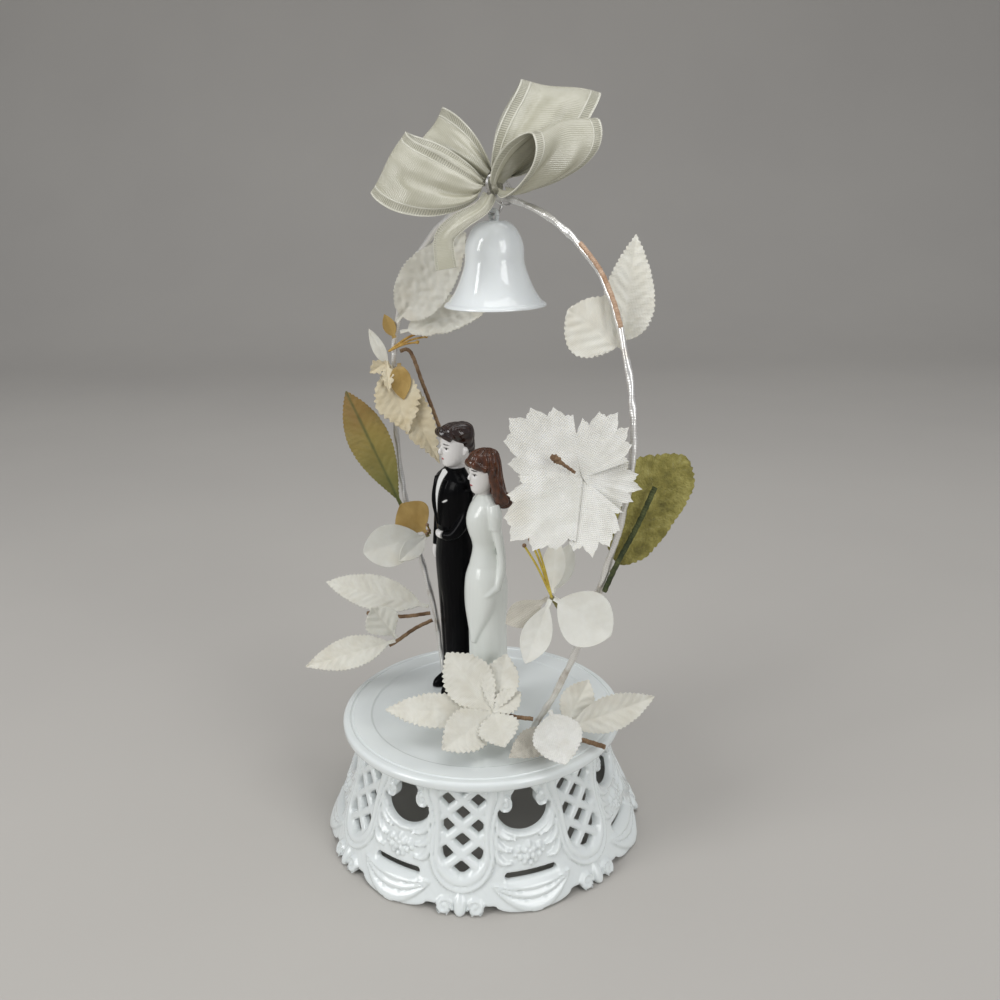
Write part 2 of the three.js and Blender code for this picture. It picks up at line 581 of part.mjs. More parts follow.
function hangerLoop() {
  const middle = (HANGER_TOP + HANGER_FOOT) / 2;
  const loop = new THREE.TorusGeometry(1, HANGER_WIRE / 2, 6, 22);
  const position = loop.attributes.position;
  for (let i = 0; i < position.count; i += 1) {
    const angle = Math.atan2(position.getY(i), position.getX(i));
    const stray = Math.hypot(position.getX(i), position.getY(i)) - 1;
    position.setX(i, Math.cos(angle) * (HANGER_HALF_WIDTH + stray));
    position.setY(i, Math.sin(angle) * (HANGER_HEIGHT / 2 + stray));
  }
  loop.rotateX(Math.PI / 2).rotateZ(Math.PI / 2);
  return bare(loop.translate(BELL_TOP.x, BELL_TOP.y, middle));
}

function bellShell() {
  const shares = [
    [0.07, 0], [0.25, 0.01], [0.43, 0.1], [0.56, 0.28], [0.58, 0.49], [0.66, 0.65], [0.81, 0.85], [1, 1],
  ];
  const outer = new THREE.SplineCurve(shares.map(([width, drop]) => (
    new THREE.Vector2(width * BELL_RIM_RADIUS, -drop * BELL_HEIGHT)))).getPoints(BELL_PROFILE_STEPS);
  const inner = outer.map((point) => new THREE.Vector2(
    Math.max(point.x - BELL_WALL, BELL_WALL / 2),
    Math.max(point.y, -BELL_HEIGHT) - BELL_WALL * (1 + point.y / BELL_HEIGHT),
  )).reverse();
  const profile = [new THREE.Vector2(0, 0), ...outer, ...inner, new THREE.Vector2(0, -BELL_WALL)];
  const shell = new THREE.LatheGeometry(profile.reverse(), BELL_SEGMENTS).rotateX(Math.PI / 2);
  shell.translate(BELL_TOP.x, BELL_TOP.y, CROWN);
  const eye = new THREE.TorusGeometry(EYE_RADIUS, EYE_TUBE, 6, 14).rotateX(Math.PI / 2);
  const staple = new THREE.TorusGeometry(STAPLE_RADIUS, CLAPPER_WIRE / 2, 6, 14).rotateX(Math.PI / 2);
  return surfaceOf(joined([
    shell,
    eye.translate(BELL_TOP.x, BELL_TOP.y, EYE_CENTRE),
    staple.translate(BELL_TOP.x, BELL_TOP.y, STAPLE_CENTRE),
  ]));
}

function bellClapper() {
  const ring = CLAPPER_PIVOT + CLAPPER_WIRE + CLEARANCE - STAPLE_RADIUS;
  const loop = new THREE.TorusGeometry(STAPLE_RADIUS, CLAPPER_WIRE / 2, 6, 14).rotateY(Math.PI / 2);
  const rod = barThrough([at(0, 0, ring - STAPLE_RADIUS + 0.2), at(0, 0, CLAPPER_PIVOT - CLAPPER_DROP)],
    CLAPPER_WIRE, 2);
  const ball = new THREE.SphereGeometry(CLAPPER_BALL, 14, 10);
  return surfaceOf(joined([loop.translate(0, 0, ring), rod,
    ball.translate(0, 0, CLAPPER_PIVOT - CLAPPER_DROP)])).translate(BELL_TOP.x, BELL_TOP.y, 0);
}

// Ribbon bow: each loop leaves the gathered knot, turns over at its far end and comes back
const KNOT = at(BELL_TOP.x + 6.4, BELL_TOP.y - 4.2, BELL_TOP.z + 3.6);

function ribbonLoop({ reach, across, belly, start, sag = at(0, 0, 0), width, stations = 16 }) {
  const side = across.clone().normalize();
  const normal = reach.clone().cross(side).normalize();
  const rows = [];
  for (let step = 0; step <= stations; step += 1) {
    const t = 0.04 + (0.92 * step) / stations;
    const far = (1 - Math.cos(2 * Math.PI * t)) / 2;
    const spread = Math.min(1, far * GATHER_RATE) ** GATHER_POWER;
    const half = (RIBBON_GATHER + (width - RIBBON_GATHER) * spread) / 2;
    const middle = KNOT.clone().add(start).addScaledVector(reach, far)
      .addScaledVector(normal, belly * Math.sin(2 * Math.PI * t) * (0.25 + 0.75 * far))
      .addScaledVector(normal, (0.5 - t) * RIBBON_LAYER)
      .addScaledVector(sag, Math.max(-Math.sin(2 * Math.PI * t), 0));
    rows.push([-1, 0, 1].map((share) => middle.clone().addScaledVector(side, share * half)));
  }
  return sheet(rows, RIBBON_THICKNESS);
}

function ribbonTail(points, widths, across) {
  const path = new THREE.CatmullRomCurve3(points, false, 'centripetal');
  const rows = [];
  const stations = 12;
  for (let step = 0; step <= stations; step += 1) {
    const t = step / stations;
    const half = (widths[0] + (widths[1] - widths[0]) * t ** 0.6) / 2;
    const middle = path.getPoint(t);
    const along = path.getTangent(t);
    const side = across.clone().addScaledVector(along, -across.dot(along)).normalize();
    rows.push([-1, 0, 1].map((share) => middle.clone().addScaledVector(side, share * half)));
  }
  return sheet(rows, RIBBON_THICKNESS);
}

function bowKnot() {
  const knot = new THREE.SphereGeometry(KNOT_RADIUS, 10, 8).scale(1, 1, 1.1);
  return bare(knot.translate(KNOT.x, KNOT.y, KNOT.z));
}

// The tie wire goes round the arch and the knot's waist as one long loop
function bowTieWire() {
  const arch = archAtX(KNOT.x);
  const long = KNOT.clone().sub(arch);
  const along = at(1, 0, 0);
  const up = long.clone().addScaledVector(along, -long.dot(along)).normalize();
  const across = along.clone().cross(up);
  const pastArch = ARCH_DIAMETER / 2 + CLEARANCE + TIE_WIRE / 2;
  const pastKnot = KNOT_RADIUS + CLEARANCE + TIE_WIRE;
  const halfLong = (pastArch + long.length() + pastKnot) / 2;
  const halfWide = pastKnot;
  const middle = arch.clone().addScaledVector(up, halfLong - pastArch);
  const ring = new THREE.TorusGeometry(1, TIE_WIRE / 2, 6, 20);
  const position = ring.attributes.position;
  for (let i = 0; i < position.count; i += 1) {
    const angle = Math.atan2(position.getY(i), position.getX(i));
    const stray = Math.hypot(position.getX(i), position.getY(i)) - 1;
    const place = middle.clone()
      .addScaledVector(up, Math.cos(angle) * (halfLong + stray))
      .addScaledVector(across, Math.sin(angle) * (halfWide + stray))
      .addScaledVector(along, position.getZ(i));
    position.setXYZ(i, place.x, place.y, place.z);
  }
  return bare(ring);
}

// Finishes
function finish(color, roughness, metalness = 0) {
  return new THREE.MeshStandardMaterial({ color, roughness, metalness });
}
const WHITE_PLASTIC = () => finish(0xf1f1ec, 0.22);
const BLACK_PAINT = () => finish(0x0b0b0d, 0.18);
const GOWN_WHITE = () => finish(0xe9ece6, 0.2);
const SILVER_FOIL = () => finish(0xbfbab2, 0.32, 0.9);
const SILVER_WIRE = () => finish(0xc9c9c9, 0.25, 1);
const SATIN = () => finish(0xece6d2, 0.45);
const CLOTH = () => finish(0xe9e2cf, 0.85);
const TAN_CLOTH = () => finish(0xcdb98c, 0.85);
const OLIVE = () => finish(0x98924a, 0.85);
const TAPE = () => finish(0x7a5638, 0.7);
const GOLD = () => finish(0xb88a3a, 0.55);

const topper = new THREE.Group();

function place(name, geometry, material) {
  const mesh = new THREE.Mesh(geometry, material);
  mesh.name = name;
  topper.add(mesh);
  return mesh;
}

place('pedestal_skirt', pedestalSkirt(), WHITE_PLASTIC());
place('platform_disc', platformDisc(), WHITE_PLASTIC());
place('arch_wire', bar(ARCH, ARCH_DIAMETER, ARCH_STEPS, ARCH_SIDES), SILVER_FOIL());

const groom = place('groom_figure', groomFigure(), BLACK_PAINT());
groom.position.set(GROOM_PLACE.x, GROOM_PLACE.y, DISH_TOP + CLEARANCE);
groom.rotation.z = COUPLE_TURN;
const bride = place('bride_figure', brideFigure(), GOWN_WHITE());
bride.position.set(BRIDE_PLACE.x, BRIDE_PLACE.y, DISH_TOP + CLEARANCE);
bride.rotation.z = COUPLE_TURN;

place('bell_hanger_loop', hangerLoop(), SILVER_WIRE());
place('bell_shell', bellShell(), WHITE_PLASTIC());
place('bell_clapper', bellClapper(), SILVER_WIRE());

// Bow: two loops on each side and one tail
place('bow_knot', bowKnot(), SATIN());
place('bow_tie_wire', bowTieWire(), SILVER_WIRE());
const LOOPS = {
  bow_left_front_loop: {
    reach: at(-18.4, -20.2, 7.6), across: at(2.3, 12.6, 18.5), belly: 2.6, start: at(-1.2, -4.1, -0.4),
    width: 21, sag: at(0.6, 0.4, -4.6),
  },
  bow_left_back_loop: {
    reach: at(-18, -9.6, 12.4), across: at(2.6, 12.6, 17.6), belly: 2, start: at(-3.6, 0.6, 2.2), width: 19,
  },
  bow_right_front_loop: {
    reach: at(12, 13.4, 17), across: at(8.3, 15.2, 6), belly: 5, start: at(3.7, -1.5, 0), width: 21,
    sag: at(5, -1, -6),
  },
  bow_right_back_loop: {
    reach: at(3, 17, 26), across: at(14.6, 16.9, -3.5), belly: 3.4, start: at(-0.6, 2.8, 2.8), width: 24,
  },
};
Object.entries(LOOPS).forEach(([name, shape]) => place(name, ribbonLoop(shape), SATIN()));
const TAIL_FALL = [
  at(0.8, -2.6, -2.6), at(1.6, -6.4, -6.2), at(-1, -12.6, -10), at(-3, -16.6, -14), at(-2.2, -17.6, -19),
  at(-1, -17.8, -23),
];
place('bow_tail', ribbonTail(
  TAIL_FALL.map((offset) => offset.add(KNOT)), [RIBBON_GATHER, RIBBON_WIDTH / 4], at(0.6, 0.8, 0.2),
), SATIN());

// Foliage. Each leaf or stem is seated on the arch by leg and height above the platform.
const FRONT = at(0.75, -0.586, 0.305);
const BACK = FRONT.clone().negate();
const FLAT = at(0.4, -0.3, 0.87);
const TILTED = at(0.55, -0.5, 0.7);

function archLeaf(name, {
  side, height, reach, material, towards = reach, face = FRONT, lift = 0, ...shape
}) {
  const base = besideArch(side, PLATFORM_TOP + height, towards, LEAF_TAB / 2 + lift);
  return place(name, leaf({ base, reach, face, ...shape }), material);
}

function archStem(name, { side, height, towards, route, diameter = STEM_DIAMETER, material }) {
  const seat = besideArch(side, PLATFORM_TOP + height, towards, diameter / 2);
  const points = [at(0, 0, 0), ...route].map((offset) => offset.clone().add(seat));
  place(name, barThrough(points, diameter, 4 * route.length, 6), material);
  return points[points.length - 1];
}

// Petals round the end of a stem, each starting clear of it in its own direction
function petalFrom(name, { end, reach, material, face = FRONT, forward = 0, ...shape }) {
  const base = end.clone().addScaledVector(reach.clone().normalize(), STEM_DIAMETER / 2 + CLEARANCE)
    .addScaledVector(FRONT, forward);
  return place(name, leaf({ base, reach, face, ...shape }), material);
}

function petalsFrom(end, petals) {
  Object.entries(petals).forEach(([name, shape]) => petalFrom(name, { end, ...shape }));
}

// Upper right: a taped stem end lies along the arch above two leaves
const TAPED_STEM_HEIGHTS = [135, 142, 149, 156];
place('upper_right_taped_stem', barThrough(TAPED_STEM_HEIGHTS.map((height) => (
  besideArch('right', PLATFORM_TOP + height, FRONT, STEM_DIAMETER / 2))), STEM_DIAMETER, 9, 6), TAPE());
archLeaf('upper_right_tall_leaf', {
  side: 'right', height: 130, reach: at(-7.1, 12, 30.5), width: 15, towards: BACK, bow: -1,
  lift: LEAF_STACK, fold: 0.3, broad: 0.32, material: CLOTH(),
});
archLeaf('upper_right_short_leaf', {
  side: 'right', height: 130, reach: at(-11, -10.3, 10.7), width: 19, towards: BACK, bow: -1.6,
  fold: 0, broad: 0.5, material: CLOTH(),
});

// Upper left: two broad leaves in front of the arch
archLeaf('upper_left_tall_leaf', {
  side: 'left', height: 128, reach: at(26, 11, 30), width: 19, towards: FRONT, bow: 0.4, broad: 0.4,
  material: CLOTH(),
});
archLeaf('upper_left_low_leaf', {
  side: 'left', height: 124.5, reach: at(22, 26.2, 9.3), width: 15, towards: at(0.8, 0.2, 0), bow: 2,
  face: at(0.6, -0.5, 0.7), material: CLOTH(),
});

// Left leg: a die-cut flower hangs from its hub, with gold stamens, narrow petals and a brown stem
const LEFT_HUB_SIDE = at(0.1, -0.95, 0.2);
const LEFT_HUB_RADIUS = 1.8;
place('left_cut_flower', flower({
  hub: besideArch('left', PLATFORM_TOP + 114, LEFT_HUB_SIDE, LEFT_HUB_RADIUS),
  tips: [at(12.3, 0, -23.7), at(19.8, 7.5, -34.3), at(5.7, -2.8, -9.7), at(-1.4, -6.2, -3.6)],
  width: [14, 12, 5, 6], face: FRONT, teeth: 0.2, hubRadius: LEFT_HUB_RADIUS,
}), CLOTH());
place('left_gold_stamens', bundle({
  base: besideArch('left', PLATFORM_TOP + 118, LEFT_HUB_SIDE, STAMEN_DIAMETER * 1.5),
  tips: [at(9.8, 10, 7.3), at(8.8, 8.6, 7), at(10.1, 9.3, 5.3), at(8.6, 6.5, 3.4)],
}), GOLD());
archStem('left_brown_stem', {
  side: 'left', height: 117.5, towards: at(0.4, 0.9, 0), material: TAPE(),
  route: [at(1.6, 2.3, 0.4), at(7.7, 4, -11.4), at(15.6, 5.6, -27.6)],
});
archLeaf('left_outer_narrow_petal', {
  side: 'left', height: 111.5, reach: at(-7.7, -2.7, 13.5), width: 4.5, towards: at(-1, -0.4, 0),
  material: CLOTH(),
});
archLeaf('left_inner_narrow_petal', {
  side: 'left', height: 122.5, reach: at(-2.8, -1.9, 8.1), width: 4.5, towards: FRONT, material: TAN_CLOTH(),
});
archLeaf('left_tan_petal', {
  side: 'left', height: 113, reach: at(3.9, -0.8, -11.3), width: 6.5, towards: at(0.7, 0.7, 0),
  material: TAN_CLOTH(),
});
archLeaf('left_olive_leaf', {
  side: 'left', height: 61, reach: at(-17.4, -10.3, 42.5), width: 15, towards: at(0.2, -1, 0), bow: 3,
  broad: 0.56, material: OLIVE(),
});

// Left leg, halfway: a blossom on a short stem
const LEFT_BLOSSOM = archStem('left_blossom_stem', {
  side: 'left', height: 50, towards: at(1, 0, 0), material: OLIVE(),
  route: [at(2, 0.6, 1.4), at(4, 1.4, 2.6)],
});
petalsFrom(LEFT_BLOSSOM, {
  left_blossom_round_petal: {
    reach: at(-8.2, -20.9, -3.8), width: 15, broad: 0.55, forward: 0.3, material: CLOTH(),
  },
  left_blossom_tan_petal: { reach: at(-8.7, -4.8, 8.9), width: 11, broad: 0.55, material: TAN_CLOTH() },
  left_blossom_small_petal: {
    reach: at(-0.8, -11.3, -6.8), width: 7, bow: 1, forward: 1.4, material: CLOTH(),
  },
});
place('left_blossom_stamens', bundle({
  base: LEFT_BLOSSOM.clone().add(at(1.9, -0.4, 1.2)),
  tips: [at(1, -1.8, 3.8), at(1.8, -1.6, 2), at(2, -2.8, 1)],
}), GOLD());

// Lower left: a side stem with two leaves and a petal
const LOWER_LEFT = archStem('lower_left_stem', {
  side: 'left', height: 22, towards: at(0.2, -1, 0), material: TAPE(),
  route: [at(-2.3, -5.8, -2.2), at(-3.9, -13.1, -5.7), at(-4.6, -16, -6.9)],
});
archLeaf('lower_left_curled_leaf', {
  side: 'left', height: 27, reach: at(-35.8, -20.4, 2.2), width: 14, towards: at(-0.4, -1, 0), bow: 4,
  face: TILTED, material: CLOTH(),
});
petalsFrom(LOWER_LEFT.clone().add(at(2, 2.5, 2.2)), {
  lower_left_round_petal: {
    reach: at(-3.2, -7.5, 13.1), width: 13, broad: 0.58, forward: 0.2, material: CLOTH(),
  },
  lower_left_long_leaf: {
    reach: at(-13.5, -29.1, -6.4), width: 12.5, bow: 1, face: TILTED, forward: -0.3, material: CLOTH(),
  },
});
archStem('lower_left_stem_end', {
  side: 'left', height: 24.2, towards: at(-0.9, -0.6, 0), material: TAPE(),
  route: [at(-7, -8, -1.4), at(-16.8, -16.7, -0.8)],
});

// Right leg: the largest cut flower on its stem, then the olive leaf with its rib
const BIG_HUB_RADIUS = 2;
const BIG_STEM_END = archStem('right_flower_stem', {
  side: 'right', height: 95, towards: at(0, -1, 0), material: TAPE(),
  route: [at(-2.4, -5, 0.6), at(-7, -10, 0.2)],
});
const BIG_HUB = BIG_STEM_END.clone()
  .addScaledVector(FRONT, STEM_DIAMETER / 2 + CLEARANCE + BIG_HUB_RADIUS);
place('right_cut_flower', flower({
  hub: BIG_HUB,
  tips: [
    at(-13.4, -12.6, 15), at(1.8, 10, 15.4), at(9.6, 11.4, -3), at(6.4, -2.4, -18.8), at(-6.4, -18.4, -14.2),
  ],
  width: [20, 17, 14, 16, 18], face: FRONT, teeth: 0.16, rows: 9, broad: 0.62, hubRadius: BIG_HUB_RADIUS,
}), CLOTH());
const PISTIL_DIAMETER = 1.5;
const PISTIL_STEP = 4;
const PISTIL_RISE = 1.6;
place('right_flower_pistil', barThrough([0, 1, 2].map((step) => BIG_HUB.clone()
  .addScaledVector(at(-0.64, -0.54, 0.54), BIG_HUB_RADIUS + 2 * CLEARANCE + step * PISTIL_STEP)
  .addScaledVector(FRONT, (1 + step) * PISTIL_RISE)), PISTIL_DIAMETER, 5, 6), TAPE());
archLeaf('right_olive_leaf', {
  side: 'right', height: 65, reach: at(2.5, 26.1, 30.9), width: 23, towards: at(0.5, 0.8, 0.4), bow: 1,
  broad: 0.5, material: OLIVE(),
});
archStem('right_olive_leaf_rib', {
  side: 'right', height: 60, towards: at(0.9, -0.1, 0.3), material: OLIVE(), diameter: 1.6,
  route: [at(2.5, 2.6, 8.8), at(3.6, 9.6, 19.4), at(4.2, 15.6, 29.5)],
});

// Lower right: a blossom of plain petals
const LOWER_RIGHT = archStem('lower_right_blossom_stem', {
  side: 'right', height: 44, towards: at(-0.8, -0.6, 0), material: OLIVE(),
  route: [at(-1.6, -3, 5), at(-3.9, -6.6, 12)],
});
petalsFrom(LOWER_RIGHT, {
  lower_right_round_petal: {
    reach: at(16.8, 7.1, -7.9), width: 17, broad: 0.55, forward: 0.5, material: CLOTH(),
  },
  lower_right_narrow_petal: { reach: at(4, -13, -15.2), width: 9, broad: 0.55, material: CLOTH() },
  lower_right_tan_petal: {
    reach: at(-5.3, -12, -6.7), width: 8, broad: 0.6, forward: -1.2, material: TAN_CLOTH(),
  },
  lower_right_inner_upright_petal: { reach: at(-5.1, 6.3, 14.7), width: 7, material: CLOTH() },
  lower_right_outer_upright_petal: {
    reach: at(-4, 11.4, 12.1), width: 7, forward: -1.4, material: CLOTH(),
  },
});
place('lower_right_stamens', bundle({
  base: LOWER_RIGHT.clone().addScaledVector(FRONT, 2.4),
  tips: [at(-6.4, -5, 15.6), at(-6, -3, 17), at(-4.6, -2, 16.4)],
}), GOLD());

// Front of the platform: a cut rosette tied to the right foot
const ROSETTE_HUB = 2;
const ROSETTE_STEM_END = archStem('rosette_stem', {
  side: 'right', height: 8, towards: at(-0.4, -0.9, 0), material: TAPE(),
  route: [at(-5, -4.4, 0.4), at(-11.5, -7.1, 0.7)],
});
const ROSETTE = ROSETTE_STEM_END.clone()
  .addScaledVector(FRONT, STEM_DIAMETER / 2 + CLEARANCE + ROSETTE_HUB);
place('front_rosette', flower({
  hub: ROSETTE,
  tips: [
    at(-23.2, -26.3, 0.4), at(-19, -4.5, 15.3), at(-7.2, 11.4, 14), at(1.6, 10, 4), at(0.4, -21.1, -5.6),
    at(12.4, -5.2, -5.6),
  ],
  width: [13, 20, 14, 9, 16, 15], face: at(0.6, -0.5, 0.62), teeth: 0.1, broad: 0.55,
  hubRadius: ROSETTE_HUB,
}), CLOTH());

// Right of the platform: a tied cluster of leaves on a stub
const CLUSTER = archStem('platform_cluster_stub', {
  side: 'right', height: 5, towards: at(1, 0.3, 0), material: TAPE(), diameter: 1.6,
  route: [at(7, 4, -0.4), at(13, 8, -1.2), at(19, 11, -1.8)],
});
petalsFrom(CLUSTER.clone().add(at(-12, -7.4, 3.4)), {
  platform_cluster_up_leaf: {
    reach: at(-1.7, 12.5, 11.7), width: 12, bow: 0.4, forward: -1.7, material: CLOTH(),
  },
  platform_cluster_right_leaf: { reach: at(11.5, 27.6, 7.2), width: 12, bow: 2.6, material: CLOTH() },
  platform_cluster_left_leaf: {
    reach: at(0.5, -21.7, -1.6), width: 11, bow: 1, forward: -1.4, face: FLAT, material: TAN_CLOTH(),
  },
});
archLeaf('platform_cluster_front_leaf', {
  side: 'right', height: 15, reach: at(16, -7.4, -10), width: 16, towards: at(0.9, -0.2, 0.1), bow: 3,
  broad: 0.5, material: CLOTH(),
});

export default topper;
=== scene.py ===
"""Wedding cake topper: pierced pedestal, thread-wound arch, couple, bell, ribbon bow and cloth flowers."""

import math

import bpy
import numpy as np
from mathutils import Matrix, Vector, noise


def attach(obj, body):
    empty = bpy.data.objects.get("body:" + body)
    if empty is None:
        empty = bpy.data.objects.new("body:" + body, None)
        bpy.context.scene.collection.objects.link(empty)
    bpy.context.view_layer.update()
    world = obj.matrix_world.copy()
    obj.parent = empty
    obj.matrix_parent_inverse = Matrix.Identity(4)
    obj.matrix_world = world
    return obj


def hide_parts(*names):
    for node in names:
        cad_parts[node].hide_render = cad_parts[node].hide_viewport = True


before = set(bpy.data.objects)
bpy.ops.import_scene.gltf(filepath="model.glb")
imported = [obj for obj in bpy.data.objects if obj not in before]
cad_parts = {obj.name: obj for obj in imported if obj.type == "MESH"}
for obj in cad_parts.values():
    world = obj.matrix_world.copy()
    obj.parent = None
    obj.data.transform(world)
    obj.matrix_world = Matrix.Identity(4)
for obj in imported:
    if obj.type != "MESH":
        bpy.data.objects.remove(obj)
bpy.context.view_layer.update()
MM = 0.001
BODY = "topper_frame"
TURN = 2 * math.pi
# Points closer than this are merged, in metres
MERGE = 0.00001
# Edges flatter than these are shaded smooth, in degrees
ROUND_ANGLE, CLOTH_ANGLE, SKIRT_ANGLE, BELL_ANGLE, DISC_ANGLE = 60, 70, 50, 45, 35
# UV length of a millimetre
UV_MM = 0.01
# A step in phase that keeps a row of teeth from repeating
GOLDEN_TURN = 2.399


# Small vector helpers, in millimetres
def at(*xyz):
    return np.array(xyz, float)


def unit(v):
    return np.asarray(v, float) / np.linalg.norm(v)


def run_of(line):
    """Distance along a row of points."""
    return np.r_[0, np.cumsum(np.linalg.norm(np.diff(line, axis=0), axis=1))]


def smooth_line(points, count):
    """An even row of points on a smooth curve through the given ones."""
    p = np.array(points, float)
    far = np.vstack([2 * p[0] - p[1], p, 2 * p[-1] - p[-2]])
    t = np.linspace(0, 1, 24, endpoint=False)[:, None]
    runs = []
    for a, b, c, d in zip(far, far[1:], far[2:], far[3:]):
        ab, bc, cd = (max(np.linalg.norm(q - r) ** 0.5, 1e-4) for q, r in ((b, a), (c, b), (d, c)))
        leave = ((b - a) / ab - (c - a) / (ab + bc) + (c - b) / bc) * bc
        arrive = ((c - b) / bc - (d - b) / (bc + cd) + (d - c) / cd) * bc
        runs.append(b + leave * t + (3 * (c - b) - 2 * leave - arrive) * t**2
                    + (2 * (b - c) + leave + arrive) * t**3)
    line = np.vstack([*runs, p[-1:]])
    run = run_of(line)
    want = np.linspace(0, run[-1], count)
    return np.column_stack([np.interp(want, run, line[:, k]) for k in range(line.shape[1])])


def wander(points, pitch, seed):
    """Smooth noise from -1 to 1 at each point, for creases and unevenness."""
    shift = Vector((seed * 7.31, seed * 3.17, seed * 5.53))
    return np.array([noise.noise(Vector(p) / pitch + shift) for p in np.asarray(points, float)])


# Objects
def nothing_selected():
    if bpy.context.object and bpy.context.object.mode != "OBJECT":
        bpy.ops.object.mode_set(mode="OBJECT")
    bpy.ops.object.select_all(action="DESELECT")


def only(obj):
    nothing_selected()
    obj.select_set(True)
    bpy.context.view_layer.objects.active = obj


def edited(obj, *steps):
    """Runs mesh operators on all of an object's mesh."""
    only(obj)
    bpy.ops.object.mode_set(mode="EDIT")
    bpy.ops.mesh.select_all(action="SELECT")
    for operator, settings in steps:
        operator(**settings)
    bpy.ops.object.mode_set(mode="OBJECT")
    return obj


def added(operator, **settings):
    """A Blender primitive, with its place applied to its mesh."""
    nothing_selected()
    operator(**settings)
    bpy.ops.object.transform_apply()
    return bpy.context.object


def meshed(name, points, faces):
    """A mesh object from points in millimetres."""
    mesh = bpy.data.meshes.new(name)
    mesh.from_pydata((np.asarray(points, float) * MM).tolist(), [], faces)
    obj = bpy.data.objects.new(name, mesh)
    bpy.context.scene.collection.objects.link(obj)
    return obj


def read(items, key, width, kind=np.float32):
    """One property of every item of a mesh, a row for each item."""
    flat = np.empty(width * len(items), kind)
    items.foreach_get(key, flat)
    return flat.reshape(-1, width)


def points_of(obj):
    return read(obj.data.vertices, "co", 3).astype(float) / MM


def moved_points(obj, points):
    obj.data.vertices.foreach_set("co", (np.asarray(points, float) * MM).astype(np.float32).ravel())
    obj.data.update()


def set_uv(obj, u, v, name="cut"):
    corners = read(obj.data.loops, "vertex_index", 1, np.int32)[:, 0]
    layer = obj.data.uv_layers.active or obj.data.uv_layers.new(name=name)
    layer.data.foreach_set("uv", np.column_stack([u[corners], v[corners]]).astype(np.float32).ravel())


def applied(obj, kind, **settings):
    only(obj)
    made = obj.modifiers.new(kind.lower(), kind)
    for key, value in settings.items():
        setattr(made, key, value)
    bpy.ops.object.modifier_apply(modifier=made.name)


def outward(obj):
    return edited(obj, (bpy.ops.mesh.remove_doubles, {"threshold": MERGE}),
                  (bpy.ops.mesh.normals_make_consistent, {"inside": False}))


def smooth(obj, angle):
    only(obj)
    bpy.ops.object.shade_smooth_by_angle(angle=math.radians(angle))
    return obj


def joined(name, pieces):
    nothing_selected()
    for piece in pieces:
        piece.select_set(True)
    bpy.context.view_layer.objects.active = pieces[0]
    if len(pieces) > 1:
        bpy.ops.object.join()
    pieces[0].name = name
    return pieces[0]


def finished(obj, material, node, body=BODY, own=False):
    """Rides a piece on its body in place of its CAD node. With own, it keeps the materials it has."""
    if not own:
        obj.data.materials.clear()
        obj.data.materials.append(material)
    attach(obj, body)
    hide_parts(node)


def turned(name, profile, centre, steps):
    """A profile of (radius, height) points spun round the vertical through centre."""
    obj = meshed(name, [(centre[0] + r, centre[1], z) for r, z in profile], [])
    obj.data.edges.add(len(profile) - 1)
    obj.data.edges.foreach_set("vertices", [i + k for i in range(len(profile) - 1) for k in (0, 1)])
    edited(obj, (bpy.ops.mesh.spin, {"steps": steps, "angle": TURN, "axis": (0, 0, 1),
                                     "center": (centre[0] * MM, centre[1] * MM, 0)}))
    return outward(obj)


def frames_along(line):
    """Tangent and two side directions at each point, without twist."""
    tangent = np.gradient(line, axis=0)
    tangent /= np.linalg.norm(tangent, axis=1)[:, None]
    side = np.cross(tangent[0], at(0.3, 0.2, 1))
    sides = []
    for t in tangent:
        side = unit(side - t * (side @ t))
        sides.append(side)
    sides = np.array(sides)
    return tangent, sides, np.cross(tangent, sides)


def ring_faces(rows, sides):
    """The wall between rings of points that follow one another."""
    return [(i * sides + k, i * sides + (k + 1) % sides, (i + 1) * sides + (k + 1) % sides, (i + 1) * sides + k)
            for i in range(rows - 1) for k in range(sides)]


def tube(name, line, radii, sides, shape=None):
    """A closed round bar along a row of points. shape(along, around) scales its radius."""
    line = np.asarray(line, float)
    _, u, v = frames_along(line)
    radii = np.broadcast_to(np.asarray(radii, float), (len(line),))
    run = run_of(line)
    turn = np.linspace(0, TURN, sides, endpoint=False)
    ring = radii[:, None] * np.ones(sides)
    if shape is not None:
        ring = ring * shape(run[:, None], turn[None, :])
    body = (line[:, None] + ring[..., None] * (np.cos(turn)[None, :, None] * u[:, None]
                                               + np.sin(turn)[None, :, None] * v[:, None]))
    n = len(line)
    faces = ring_faces(n, sides)
    for k in range(sides):
        j = (k + 1) % sides
        faces += [(n * sides, j, k), (n * sides + 1, (n - 1) * sides + k, (n - 1) * sides + j)]
    obj = meshed(name, np.vstack([body.reshape(-1, 3), line[:1], line[-1:]]), faces)
    along = np.r_[np.repeat(run, sides), run[0], run[-1]] * UV_MM
    set_uv(obj, np.r_[np.tile(turn, n), 0, 0] / TURN, along, "wrap")
    return outward(obj)


